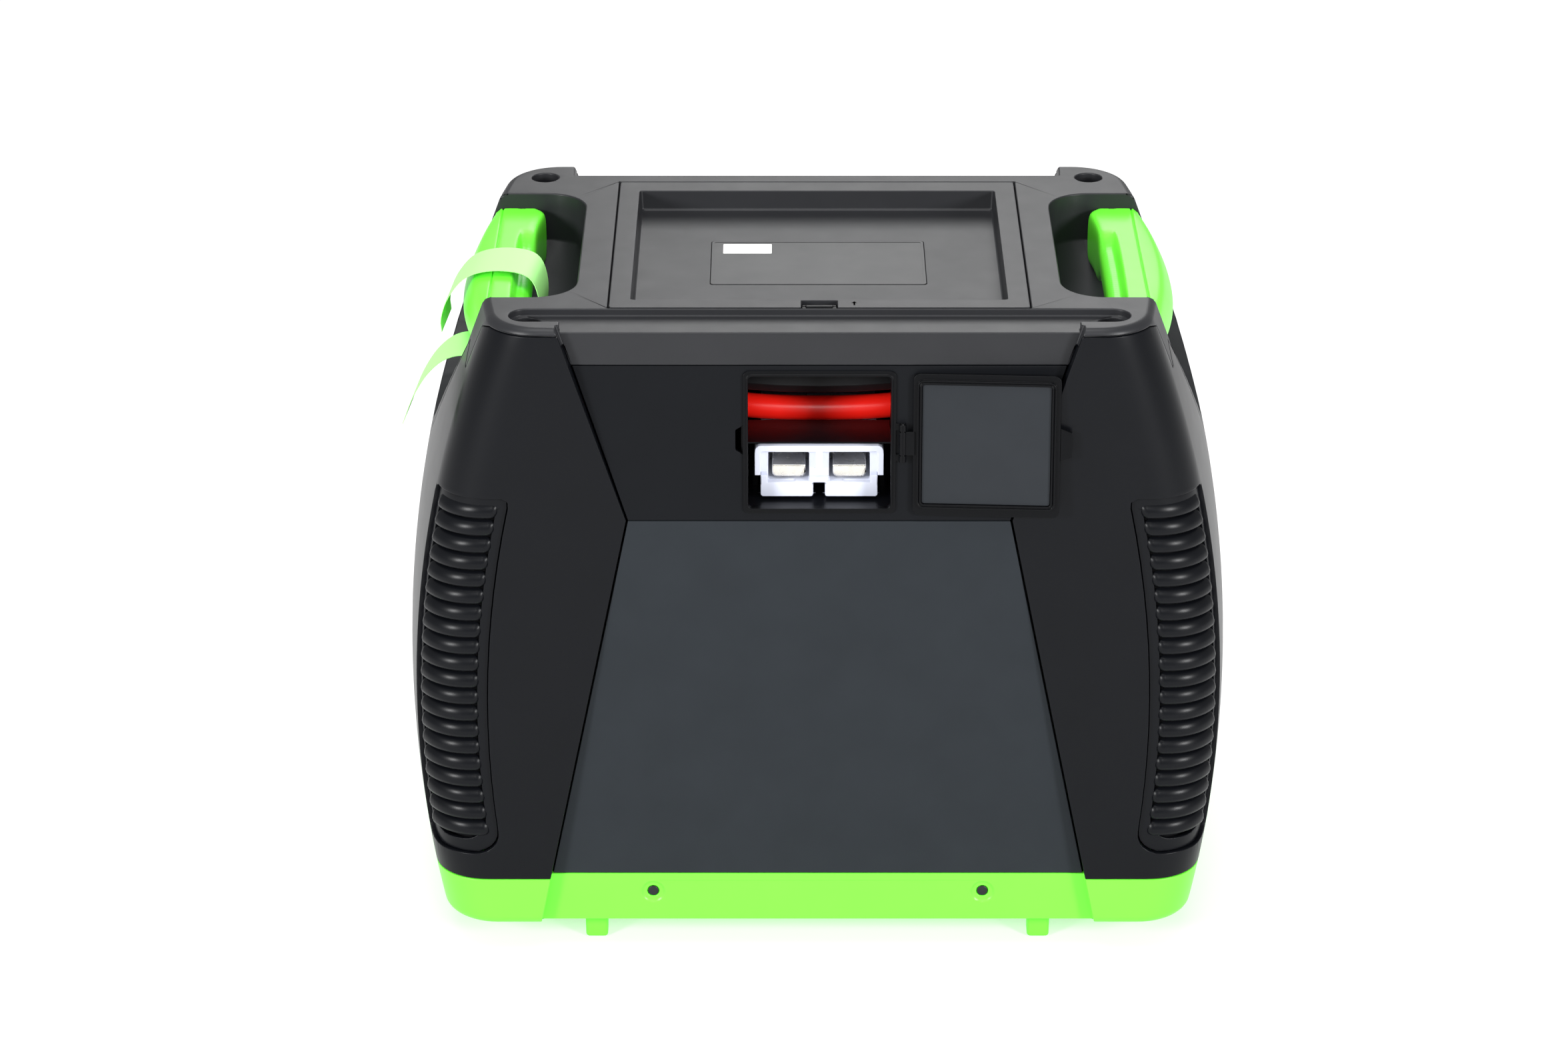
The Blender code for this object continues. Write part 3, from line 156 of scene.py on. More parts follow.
def noise(tree, scale, detail=2.0, stretch=(1, 1, 1)):
    """Noise in object space, in features per metre."""
    place = tree.nodes.new("ShaderNodeTexCoord")
    shape = tree.nodes.new("ShaderNodeMapping")
    shape.inputs["Scale"].default_value = stretch
    made = tree.nodes.new("ShaderNodeTexNoise")
    made.inputs["Scale"].default_value = scale
    made.inputs["Detail"].default_value = detail
    tree.links.new(place.outputs["Object"], shape.inputs["Vector"])
    tree.links.new(shape.outputs["Vector"], made.inputs["Vector"])
    return made.outputs["Fac"]


def mapped(tree, value, low, high):
    """A value from 0 to 1, spread over low to high."""
    made = tree.nodes.new("ShaderNodeMapRange")
    made.inputs["To Min"].default_value = low
    made.inputs["To Max"].default_value = high
    tree.links.new(value, made.inputs["Value"])
    return made.outputs["Result"]


def mixed(tree, share, first, second):
    made = tree.nodes.new("ShaderNodeMix")
    made.data_type = "RGBA"
    made.inputs["A"].default_value = (*first, 1)
    made.inputs["B"].default_value = (*second, 1)
    tree.links.new(share, made.inputs["Factor"])
    return made.outputs["Result"]


def grain(tree, shader, scale, strength, distance=0.0001, detail=2.0, stretch=(1, 1, 1)):
    """Fine bumps over the whole surface."""
    bump = tree.nodes.new("ShaderNodeBump")
    bump.inputs["Strength"].default_value = strength
    bump.inputs["Distance"].default_value = distance
    tree.links.new(noise(tree, scale, detail, stretch), bump.inputs["Height"])
    tree.links.new(bump.outputs["Normal"], shader.inputs["Normal"])


def plastic(name, colour, roughness, spread=0.05, texture=900, strength=0.08, tint=0.12, shine=0.5):
    """Moulded plastic: fine spark texture, slightly uneven gloss and a faint cloud of colour."""
    made, tree, shader = nodes_of(name, colour, roughness, 0.0, shine)
    darker = [c * (1 - tint) for c in colour]
    lighter = [min(1, c * (1 + tint)) for c in colour]
    tree.links.new(mixed(tree, noise(tree, 35, 4), darker, lighter), shader.inputs["Base Color"])
    gloss = mapped(tree, noise(tree, 60, 5), roughness - spread, roughness + spread)
    tree.links.new(gloss, shader.inputs["Roughness"])
    grain(tree, shader, texture, strength)
    return made


def metal(name, colour, roughness, stretch=(1, 1, 1), strength=0.15, scale=700):
    """Metal with duller patches and fine marks, which stretch draws out along an axis."""
    made, tree, shader = nodes_of(name, colour, roughness, 1.0)
    dull = [c * 0.72 for c in colour]
    tree.links.new(mixed(tree, noise(tree, 140, 5), dull, colour), shader.inputs["Base Color"])
    gloss = mapped(tree, noise(tree, 260, 4), roughness - 0.08, roughness + 0.14)
    tree.links.new(gloss, shader.inputs["Roughness"])
    grain(tree, shader, scale, strength, 0.0002, 4, stretch)
    return made


def paper(name, front, back):
    """Thin coated paper, one colour on each side, with a trace of fibre."""
    made, tree, shader = nodes_of(name, front, 0.55)
    geometry = tree.nodes.new("ShaderNodeNewGeometry")
    tree.links.new(mixed(tree, geometry.outputs["Backfacing"], front, back), shader.inputs["Base Color"])
    grain(tree, shader, 1200, 0.1, 0.0001, 5, (1, 6, 1))
    return made


def clear_plastic(name, colour, roughness):
    """Clear window with a slightly uneven polish."""
    made, tree, shader = nodes_of(name, colour, roughness)
    shader.inputs["Transmission Weight"].default_value = 0.9
    shader.inputs["IOR"].default_value = 1.49
    gloss = mapped(tree, noise(tree, 90, 3), roughness, roughness + 0.06)
    tree.links.new(gloss, shader.inputs["Roughness"])
    return made


MATERIALS = {
    "case_black": plastic("satin_black", (0.0030, 0.0034, 0.0046), 0.32, 0.02, 1400, 0.05, shine=0.13),
    "panel_black": plastic("panel_black", (0.0025, 0.0030, 0.0042), 0.50, 0.02, 1400, 0.04, shine=0.12),
    "panel_graphite": plastic("panel_graphite", (0.0160, 0.0190, 0.0225), 0.50, 0.02, 1400, 0.05, shine=0.10),
    "cover_grey": plastic("cover_grey", (0.016, 0.0165, 0.0185), 0.40, 0.04, 1900, 0.22, shine=0.22),
    "green_plastic": plastic("green_plastic", (0.150, 0.92, 0.040), 0.34, 0.04, 900, 0.03, 0.04, shine=0.35),
    "rubber_black": plastic("rubber_black", (0.0022, 0.0024, 0.0030), 0.36, 0.04, 700, 0.08, shine=0.10),
    "flap_panel": plastic("flap_panel", (0.0180, 0.0203, 0.0235), 0.55, 0.02, 1200, 0.05, shine=0.10),
    "connector_grey": plastic("connector_grey", (0.62, 0.65, 0.76), 0.36, 0.05, 900, 0.05, 0.03),
    "contact_silver": metal("contact_silver", (0.86, 0.83, 0.76), 0.22, (1, 0.25, 1), 0.45, 300),
    "lead_red": plastic("lead_red", (0.98, 0.012, 0.006), 0.34, 0.05, 500, 0.04, 0.05),
    "lead_black": plastic("lead_black", (0.006, 0.006, 0.007), 0.45, 0.05, 500, 0.06, shine=0.3),
    "zinc_steel": metal("zinc_steel", (0.60, 0.60, 0.61), 0.30),
    "dark_steel": metal("dark_steel", (0.045, 0.047, 0.050), 0.42),
    "plate_lead": metal("plate_lead", (0.26, 0.26, 0.28), 0.55, (1, 1, 0.2)),
    "battery_plastic": plastic("battery_plastic", (0.040, 0.041, 0.046), 0.50),
    "foam": plastic("foam", (0.030, 0.030, 0.031), 0.85, 0.04, 260, 0.6),
    "circuit_board": plastic("circuit_board", (0.010, 0.130, 0.050), 0.40, 0.05, 500, 0.1),
    "clear_window": clear_plastic("clear_window", (0.72, 0.74, 0.76), 0.05),
    "label_film": plastic("label_film", (0.013, 0.0135, 0.015), 0.40, 0.04, 500, 0.02, 0.05, shine=0.3),
    "sticker_white": plastic("sticker_white", (0.70, 0.70, 0.69), 0.50, 0.04, 900, 0.05, 0.03),
    "tag_paper": paper("tag_paper", (0.36, 0.86, 0.25), (0.76, 0.84, 0.74)),
    "hole_dark": plastic("hole_dark", (0.003, 0.003, 0.004), 0.60, shine=0.2),
}


# ---------------------------------------------------------------- mesh helpers


def to_mesh(bm):
    """The finished mesh, with its faces pointing out."""
    bmesh.ops.recalc_face_normals(bm, faces=bm.faces)
    if bm.calc_volume(signed=True) < 0:
        bmesh.ops.reverse_faces(bm, faces=bm.faces)
    mesh = bpy.data.meshes.new("shape")
    bm.to_mesh(mesh)
    bm.free()
    return mesh


def block(low, high):
    """Box between two corners."""
    bm = bmesh.new()
    bmesh.ops.create_cube(bm, size=1)
    bmesh.ops.scale(bm, vec=[b - a for a, b in zip(low, high)], verts=bm.verts)
    bmesh.ops.translate(bm, vec=[(a + b) / 2 for a, b in zip(low, high)], verts=bm.verts)
    return to_mesh(bm)


def rod(start, end, radius, end_radius=None, sides=32):
    """Round bar or cone between two points."""
    start, end = Vector(start), Vector(end)
    along = end - start
    bm = bmesh.new()
    wide = radius if end_radius is None else end_radius
    bmesh.ops.create_cone(
        bm, cap_ends=True, segments=sides, radius1=radius, radius2=wide, depth=along.length
    )
    turn = along.to_track_quat("Z", "Y").to_matrix().to_4x4()
    bm.transform(Matrix.Translation((start + end) / 2) @ turn)
    return to_mesh(bm)


def loft(rings):
    """Closed solid through rings that have the same number of points, with flat ends."""
    bm = bmesh.new()
    rows = [[bm.verts.new(point) for point in ring] for ring in rings]
    count = len(rings[0])
    for low, high in zip(rows, rows[1:]):
        for i in range(count):
            j = (i + 1) % count
            bm.faces.new((low[i], low[j], high[j], high[i]))
    bm.faces.new(reversed(rows[0]))
    bm.faces.new(rows[-1])
    return to_mesh(bm)


def prism(outline, low, high, plane="XZ"):
    """Flat outline in XZ, XY or YZ, extruded across that plane from low to high."""
    place = {
        "XZ": lambda a, b, c: (a, c, b),
        "XY": lambda a, b, c: (a, b, c),
        "YZ": lambda a, b, c: (c, a, b),
    }[plane]
    return loft([[place(a, b, c) for a, b in outline] for c in (low, high)])


def rounded(left, right, foot, head, radius, steps=6):
    """Rectangle with round corners, as points."""
    found = []
    centres = ((right - radius, foot + radius), (right - radius, head - radius))
    centres += ((left + radius, head - radius), (left + radius, foot + radius))
    for corner, (x, z) in enumerate(centres):
        for i in range(steps + 1):
            angle = math.radians(90) * (corner - 1 + i / steps)
            found.append((x + radius * math.cos(angle), z + radius * math.sin(angle)))
    return found


def settled(thing):
    """The mesh that an object's modifiers make, in place of its own."""
    graph = bpy.context.evaluated_depsgraph_get()
    mesh = bpy.data.meshes.new_from_object(thing.evaluated_get(graph))
    thing.modifiers.clear()
    thing.data = mesh
    return thing


def carve(mesh, *steps):
    """Mesh with (operation, shape) steps done in order, where a shape is a mesh."""
    thing = bpy.data.objects.new("carving", mesh)
    bpy.context.scene.collection.objects.link(thing)
    tools = []
    for operation, shape in steps:
        tool = bpy.data.objects.new("tool", shape)
        bpy.context.scene.collection.objects.link(tool)
        tools.append(tool)
        step = thing.modifiers.new(operation, "BOOLEAN")
        step.operation = operation
        step.object = tool
    settled(thing)
    for tool in tools:
        bpy.data.objects.remove(tool)
    made = thing.data
    bpy.data.objects.remove(thing)
    return made


def less(*shapes):
    """Steps for carve that cut these shapes away."""
    return [("DIFFERENCE", shape) for shape in shapes]


def plus(*shapes):
    """Steps for carve that join these shapes on."""
    return [("UNION", shape) for shape in shapes]


def cleaned(mesh, distance=0.00008):
    """Mesh without the slivers that Booleans leave."""
    bm = bmesh.new()
    bm.from_mesh(mesh)
    bmesh.ops.remove_doubles(bm, verts=bm.verts, dist=distance)
    bmesh.ops.dissolve_degenerate(bm, edges=bm.edges, dist=distance)
    bmesh.ops.triangulate(bm, faces=bm.faces, ngon_method="BEAUTY")
    bm.to_mesh(mesh)
    bm.free()
    return mesh


def soften(thing, width, segments=2, angle=32):
    """Round edges sharper than angle, and shade evenly."""
    bevel = thing.modifiers.new("round", "BEVEL")
    bevel.width = width
    bevel.segments = segments
    bevel.limit_method = "ANGLE"
    bevel.angle_limit = math.radians(angle)
    bevel.use_clamp_overlap = False
    bevel.miter_outer = "MITER_ARC"
    even = thing.modifiers.new("even", "WEIGHTED_NORMAL")
    even.keep_sharp = True
    return thing


def smooth(mesh, angle=32):
    """Shade round, with edges sharper than angle kept."""
    mesh.shade_smooth()
    mesh.set_sharp_from_angle(angle=math.radians(angle))
    return mesh


def piece(name, mesh, slot, body, replaces=(), width=0.0004, segments=2, material=None, place=None):
    """A finished piece: softened, painted, riding on a body and standing for CAD nodes."""
    if place is not None:
        mesh.transform(place)
    mesh.transform(Matrix.Translation((0, POD_Y, 0)))
    mesh.name = name
    made = bpy.data.objects.new(name, cleaned(mesh))
    bpy.context.scene.collection.objects.link(made)
    if width:
        mesh.shade_smooth()
        settled(soften(made, width, segments))
    else:
        smooth(mesh, 40)
    made.data.materials.clear()
    made.data.materials.append(MATERIALS[material or slot])
    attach(made, body)
    if replaces:
        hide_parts(*replaces)
    return made


def refine(node, material):
    """A CAD node whose shape is right: its points welded, edges rounded, and painted."""
    thing = frame["nodes"][node]
    thing.data.materials.clear()
    thing.data.materials.append(MATERIALS[material])
    normals = thing.data.attributes.get("custom_normal")
    if normals is not None:
        thing.data.attributes.remove(normals)
    smooth(thing.data)
    weld = thing.modifiers.new("weld", "WELD")
    weld.merge_threshold = 0.00001
    soften(thing, 0.0004)


# ---------------------------------------------------------------- case outlines


def half_width(z):
    """Half-width of the case at height z."""
    return WAIST_HALF_WIDTH - SIDE_BULGE * (z - WAIST_Z) ** 2


def corner_arc(z, inset=0.0, depth=HALF_DEPTH):
    """Centre and radius of the corner arc, and how far the side bows out beyond its ends."""
    radius = CORNER_RADIUS - inset
    centre_y = depth - inset - radius
    side_end = centre_y + radius * math.sin(SIDE_TURN)
    bow = side_end * math.tan(SIDE_TURN) / 2
    centre_x = half_width(z) - inset - bow - radius * math.cos(SIDE_TURN)
    return centre_x, centre_y, radius, bow, side_end


def case_ring(z, inset=0.0, depth=HALF_DEPTH, side=8, arc=12):
    """Closed plan outline of the case at height z, moved inwards by inset."""
    centre_x, centre_y, radius, bow, side_end = corner_arc(z, inset, depth)
    quarter = []
    for i in range(side):
        y = side_end * i / side
        quarter.append((half_width(z) - inset - bow * (y / side_end) ** 2, y))
    for i in range(arc + 1):
        angle = SIDE_TURN + (math.pi / 2 - SIDE_TURN) * i / arc
        quarter.append((centre_x + radius * math.cos(angle), centre_y + radius * math.sin(angle)))
    back = quarter[::-1]
    plan = quarter + [(-x, y) for x, y in back[:-1]]
    plan += [(-x, -y) for x, y in quarter] + [(x, -y) for x, y in back[:-1]]
    return [(x, y, z) for x, y in plan]


def case_solid(low, high, step):
    """The solid case between two heights, with a ring about every step."""
    count = max(1, round((high - low) / step))
    return loft([case_ring(low + (high - low) * i / count) for i in range(count + 1)])


def recess_half(z):
    """Half-width of the recess between the pillars, on the pillar faces."""
    for (z0, w0), (z1, w1) in zip(RECESS, RECESS[1:]):
        if z <= z1:
            return w0 + (w1 - w0) * (z - z0) / (z1 - z0)
    return RECESS[-1][1]


def recess_levels(low, high):
    """Heights at which the recess bends, between low and high."""
    return [low] + [z for z, _ in RECESS if low < z < high] + [high]


def recess_outline(low, high, margin=0.0):
    """Waisted outline in X and Z from low to high."""
    right = [(recess_half(z) + margin, z) for z in recess_levels(low, high)]
    return right + [(-x, z) for x, z in right[::-1]]


def recess_cutter(front, back, low, high):
    """The recess as a solid between two Y planes; it narrows away from the pillar faces."""
    rings = []
    for y in (front, back):
        deeper = (HALF_DEPTH - abs(y)) / (HALF_DEPTH - RECESS_WALL_Y)
        rings.append([(x, y, z) for x, z in recess_outline(low, high, -RECESS_DRAFT * deeper)])
    return loft(rings)


def recess_walls(wall, overlap, low, high):
    """The four walls that return from the pillar faces to the panels."""
    walls = []
    for side in (-1, 1):
        inner = [(side * (recess_half(z) - overlap), z) for z in recess_levels(low, high)]
        outer = [(side * (recess_half(z) + wall), z) for z in recess_levels(low, high)]
        for end in (-1, 1):
            near, far = sorted((end * RECESS_WALL_Y, end * (HALF_DEPTH + 0.002)))
            walls.append(prism(inner + outer[::-1], near, far))
    return walls


def lobe(half, tip, shoulder, steps=16):
    """The finger well's lower edge in Y and Z: a rounded V."""
    found = []
    for i in range(-steps, steps + 1):
        t = i / steps
        found.append((half * t, tip + (shoulder - tip) * abs(t) ** LOBE_POWER))
    return found


def seam_line(drop=0.0):
    """The seam between side shells and cover, in Y and Z."""
    left = [(-BEYOND_Y, SEAM_PILLAR_Z), (-0.1285, SEAM_PILLAR_Z)]
    left += [(-0.112, SEAM_CORNER_Z), (-0.104, SEAM_CORNER_Z)]
    right = [(-y, z) for y, z in left[::-1]]
    return [(y, z - drop) for y, z in left + lobe(SEAM_PEAK[0], SEAM_TIP_Z, SEAM_PEAK[1]) + right]


def well_ring(x, half, margin):
    """Section of a finger well at x; margin grows it to the outside of its wall."""
    tip = WELL_TIP_Z - WELL_TIP_SLOPE * (abs(x) - WELL_INNER_X) - margin
    edge = lobe(half + margin, tip, WELL_SHOULDER_Z - margin, 12)
    outline = [(-half - margin, 0.412)] + edge + [(half + margin, 0.412)]
    return [(x, y, z) for y, z in outline]


def well(side, margin=0.0, steps=10):
    """The finger well of one side as a solid, rounded at its inner end."""
    rings = []
    straight = WELL_HALF_LENGTH - WELL_CORNER
    centre = WELL_INNER_X + WELL_CORNER
    for i in range(steps + 1):
        angle = math.pi / 2 * i / steps
        x = centre - (WELL_CORNER + margin) * math.cos(angle)
        rings.append(well_ring(side * x, straight + WELL_CORNER * math.sin(angle), margin))
    rings.append(well_ring(side * 0.262, WELL_HALF_LENGTH, margin))
    return loft(rings)


def vent_point(u, z, inset, side, end):
    """A point u along the corner from the start of the vent, on the corner named by two signs."""
    centre_x, centre_y, radius, _, _ = corner_arc(z, inset)
    if u <= VENT_FLAT:
        x, y = centre_x - (VENT_FLAT - u), centre_y + radius
    else:
        angle = math.pi / 2 - (u - VENT_FLAT) / CORNER_RADIUS
        x, y = centre_x + radius * math.cos(angle), centre_y + radius * math.sin(angle)
    return (side * x, end * y, z)


def vent_strip(low, high, inset, depth, margin, side, end, steps=16):
    """Curved slab along the corner, with a U-shaped foot; margin shrinks its outline."""
    foot_high, foot_wide, head_high = 0.0145, 0.017, 0.006
    levels = []
    for i in range(7):
        angle = math.pi / 2 * i / 6
        levels.append((low + foot_high * (1 - math.cos(angle)), foot_wide * (1 - math.sin(angle))))
    straight = high - low - foot_high - head_high
    levels += [(low + foot_high + straight * i / 12, 0) for i in range(1, 13)]
    levels += [(high - 0.002, 0.001), (high, 0.005)]
    rings = []
    for z, narrower in levels:
        start, stop = margin + narrower, VENT_LENGTH - margin - narrower
        stations = [start + (stop - start) * i / steps for i in range(steps + 1)]
        outer = [vent_point(u, z, inset, side, end) for u in stations]
        inner = [vent_point(u, z, inset + depth, side, end) for u in stations[::-1]]
        rings.append(outer + inner)
    return loft(rings)


# ---------------------------------------------------------------- case pieces


def collar(end, depth, gap=0.0):
    """Outer skin of the pillar tops, where the shells reach up to the rounding of the cover."""
    outline = [(end * (y + gap), z - gap) for y, z in COLLAR]
    inside = loft([case_ring(z, depth) for z in (0.350, 0.378, 0.405)])
    return carve(prism(outline, -BEYOND_X, BEYOND_X, "YZ"), *less(inside))


def build_side_shells():
    """Side shells with their pillars, the opening for each grille and a rounded edge along the recess."""
    for side, name in SIDES:
        solid = case_solid(SHELL_Z + GAP, 0.398, 0.009)
        heights = (0.045, 0.115, 0.195, 0.275, 0.355, 0.400)
        inside = loft([case_ring(z, SHELL_WALL, side=3, arc=4) for z in heights])
        hollow = carve(inside, *less(*recess_walls(SHELL_WALL, 0.004, 0.040, 0.405)))
        outline = seam_line(GAP) + [(BEYOND_Y, 0.420), (-BEYOND_Y, 0.420)]
        above = prism(outline, -BEYOND_X, BEYOND_X, "YZ")
        above = carve(above, *less(*[collar(end, 0.0032, GAP) for end, _ in ENDS]))
        far, near = sorted((-side * 0.300, side * 0.080))
        steps = less(
            hollow,
            recess_cutter(-BEYOND_Y, 0.001 - RECESS_WALL_Y, 0.045, ABOVE_Z),
            recess_cutter(RECESS_WALL_Y - 0.001, BEYOND_Y, 0.045, ABOVE_Z),
            above,
            block((far, -0.160, 0), (near, 0.160, 0.45)),
            *[vent_strip(VENT_Z[0], VENT_Z[1], -0.004, 0.014, 0, side, end) for end, _ in ENDS],
        )
        skin = carve(solid, *steps)
        piece(f"{name}_shell_skin", skin, "case_black", "case", [f"{name}_side_shell"], 0.0006)


# Hood section as inset from the case surface and height: back top, crown, belly, lip, and inside again.
LOUVRE_SECTION = (
    (0.0044, 0.0048),
    (0.0032, 0.0044),
    (0.0018, 0.0030),
    (0.0008, 0.0008),
    (0.0004, -0.0016),
    (0.0008, -0.0034),
    (0.0016, -0.0042),
    (0.0024, -0.0036),
    (0.0036, 0.0000),
    (0.0052, 0.0038),
)
LOUVRE_ROOT = 0.0046


def louvre(number, side, end):
    """One hood: a rounded bar that swells from the plate and ends in domes."""
    middle = LOUVRE_Z + LOUVRE_PITCH * number
    start, stop = 0.0048, VENT_LENGTH - 0.0052
    reach = (stop - start) / 2
    centre = (start + stop) / 2
    dome = 0.0052
    rings = []
    stations = [-1 + 0.5 * (1 - math.cos(math.pi * i / 8)) * dome / reach for i in range(9)]
    stations += [-1 + dome / reach + (2 - 2 * dome / reach) * i / 8 for i in range(1, 8)]
    stations += [-s for s in stations[8::-1]]
    for s in stations:
        from_end = (1 - abs(s)) * reach
        swell = math.sqrt(max(0.0, 1 - (1 - min(1, from_end / dome)) ** 2))
        swell = max(swell, 0.04)
        ring = []
        for inset, up in LOUVRE_SECTION:
            out = LOUVRE_ROOT - (LOUVRE_ROOT - inset) * swell
            height = middle + up * (0.25 + 0.75 * swell)
            ring.append(vent_point(centre + s * reach, height, out, side, end))
        rings.append(ring)
    return loft(rings)


def build_grilles():
    """Curved grilles: a plate with a window, domed hoods across it and a near-black sheet behind them,
    painted shade for the inside of the case.
    """
    for end, end_name in ENDS:
        for side, side_name in SIDES:
            low, high = VENT_Z[0] + 0.0004, VENT_Z[1] - 0.0004
            plate = vent_strip(low, high, 0.0024, 0.0026, 0.0004, side, end)
            window = vent_strip(low + 0.0080, high - 0.0050, 0, 0.009, 0.0065, side, end)
            plate = carve(plate, *less(window))
            name = f"vent_grille_{end_name}_{side_name}"
            piece(f"{name}_plate", plate, "case_black", "case", [name])
            bm = bmesh.new()
            for number in range(LOUVRES):
                bm.from_mesh(louvre(number, side, end))
            hoods = piece(f"{name}_hoods", to_mesh(bm), "case_black", "case", (), 0)
            for face in hoods.data.polygons:
                face.use_smooth = True
            # Painted shade: a near-black sheet behind the hoods stands for the shaded inside of the case seen
            # through the window.
            shade_sheet = vent_strip(low, high, 0.0085, 0.0006, 0.0004, side, end)
            piece(f"{name}_liner", shade_sheet, "case_black", "case", (), 0, material="hole_dark")


def build_base():
    """Base tray with pegs, rounded foot edge and countersunk screw recesses."""
    low, high, round_off = BASE_Z, SHELL_Z - GAP, 0.006
    rings = []
    for i in range(7):
        angle = math.pi / 2 * i / 6
        rings.append(case_ring(low + round_off * (1 - math.cos(angle)), round_off * (1 - math.sin(angle))))
    rings += [case_ring(low + round_off + (high - low - round_off) * i / 3) for i in (1, 2, 3)]
    above = SHELL_Z + 0.002
    hollow = loft([case_ring(z, 0.004, HALF_DEPTH - 0.008, 3, 4) for z in (BASE_Z + 0.004, above)])
    steps = less(
        hollow,
        recess_cutter(-BEYOND_Y, FRONT_FOOT_Y, BASE_Z - 0.002, above),
        recess_cutter(REAR_FOOT_Y, BEYOND_Y, BASE_Z - 0.002, above),
    )
    for side, _ in SIDES:
        for end, _ in ENDS:
            x, y = side * PEG_XY[0], end * PEG_XY[1]
            peg = []
            for z, half in ((0, 0.0058), (0.001, 0.0066), (BASE_Z + 0.002, 0.007)):
                peg.append([(x + a, y + b, z) for a, b in rounded(-half, half, -half, half, 0.002, 4)])
            steps += plus(loft(peg))
            face = end * abs(FRONT_FOOT_Y)
            x, z = side * SCREW_XZ[0], SCREW_XZ[1]
            for out, into, wide, narrow in (
                (0.001, 0.0012, 0.0084, 0.0058),
                (0.002, 0.0032, 0.0036, 0.0036),
                (0, 0.006, 0.0022, 0.0022),
            ):
                steps += less(rod((x, face + end * out, z), (x, face - end * into, z), wide, narrow))
    piece("base_tray_shell", carve(loft(rings), *steps), "green_plastic", "case", ["base_tray"], 0.0006)


def cover_levels(inset):
    """Heights and insets of the cover's rings, up the side and over its rounded edge."""
    levels = [(0.270 + 0.0124 * i, inset) for i in range(10)]
    radius = TOP_ROUNDING - inset
    for i in range(9):
        angle = math.pi / 2 * i / 8
        z = TOP_Z - TOP_ROUNDING + radius * math.sin(angle)
        levels.append((z, inset + radius * (1 - math.cos(angle))))
    return levels


def build_cover():
    """Top cover with finger wells, lid seat, front groove and corner sockets."""
    outside = loft([case_ring(z, inset) for z, inset in cover_levels(0)])
    levels = [(0.262, WALL)] + cover_levels(WALL)[4::4]
    inside = loft([case_ring(z, inset, side=3, arc=4) for z, inset in levels])
    hollow_steps = less(*recess_walls(WALL, 0.0007, 0.255, 0.405))
    hollow_steps += less(*[well(side, WALL, 5) for side, _ in SIDES])
    rim = 0.004
    seat_low = (-LID_HALF_X - rim, LID_Y[0] - 0.003, LEDGE_Z[0])
    hollow_steps += less(
        block(seat_low, (LID_HALF_X + rim, LID_Y[1] + rim, 0.405)),
        block((-0.1795, -0.145, GROOVE_Z - WALL), (0.1795, -0.1055, 0.405)),
    )
    hollow = carve(inside, *hollow_steps)
    below = seam_line() + [(BEYOND_Y, 0.250), (-BEYOND_Y, 0.250)]
    steps = less(hollow, prism(below, -BEYOND_X, BEYOND_X, "YZ"), *[collar(end, 0.0035) for end, _ in ENDS])
    front_band = recess_outline(BAND_Z, 0.3965, -0.0005)
    rear_band = recess_outline(BAND_Z, 0.400, -0.0012)
    steps += plus(prism(front_band, FRONT_TOP_Y, FRONT_TOP_Y + WALL))
    steps += plus(prism(rear_band, REAR_TOP_Y - WALL, REAR_TOP_Y))
    for side, _ in SIDES:
        for end, roof in ((-1, 0.3955), (1, 0.4000)):
            x, y = side * SOCKET_XY[0], end * SOCKET_XY[1]
            steps += plus(rod((x, y, SOCKET_FLOOR_Z - 0.002), (x, y, roof), SOCKET_RADIUS + 0.002))
    steps += less(recess_cutter(-BEYOND_Y, FRONT_TOP_Y, 0.300, ABOVE_Z))
    steps += less(recess_cutter(REAR_TOP_Y, BEYOND_Y, 0.300, ABOVE_Z))
    steps += less(*[well(side) for side, _ in SIDES])
    for margin, front_margin, floor in ((0.0006, 0.0006, LEDGE_Z[1]), (-0.005, -0.001, 0.380)):
        low = (-LID_HALF_X - margin, LID_Y[0] - front_margin, floor)
        steps += less(block(low, (LID_HALF_X + margin, LID_Y[1] + margin, ABOVE_Z)))
    half_groove, groove_y = SOCKET_XY[0] + GROOVE_RADIUS, -SOCKET_XY[1]
    front, back = groove_y - GROOVE_RADIUS, groove_y + GROOVE_RADIUS
    outline = rounded(-half_groove, half_groove, front, back, GROOVE_RADIUS - 0.00001, 12)
    steps += less(prism(outline, GROOVE_Z, ABOVE_Z, "XY"))
    steps += less(block((-GROOVE_HALF_X, -BEYOND_Y, GROOVE_Z), (GROOVE_HALF_X, groove_y, ABOVE_Z)))
    for side, _ in SIDES:
        for end, _ in ENDS:
            x, y = side * SOCKET_XY[0], end * SOCKET_XY[1]
            steps += less(rod((x, y, SOCKET_FLOOR_Z), (x, y, ABOVE_Z), SOCKET_RADIUS))
        left, right = side * TAB_X - TAB_HALF - 0.002, side * TAB_X + TAB_HALF + 0.002
        steps += less(block((left, 0.100, 0.380), (right, LID_Y[1] + 0.0005, ABOVE_Z)))
        steps += less(block((left, 0.100, 0.380), (right, 0.1155, 0.3990)))
    piece("top_cover_shell", carve(outside, *steps), "cover_grey", "case", ["top_cover"], 0.0009, 3)


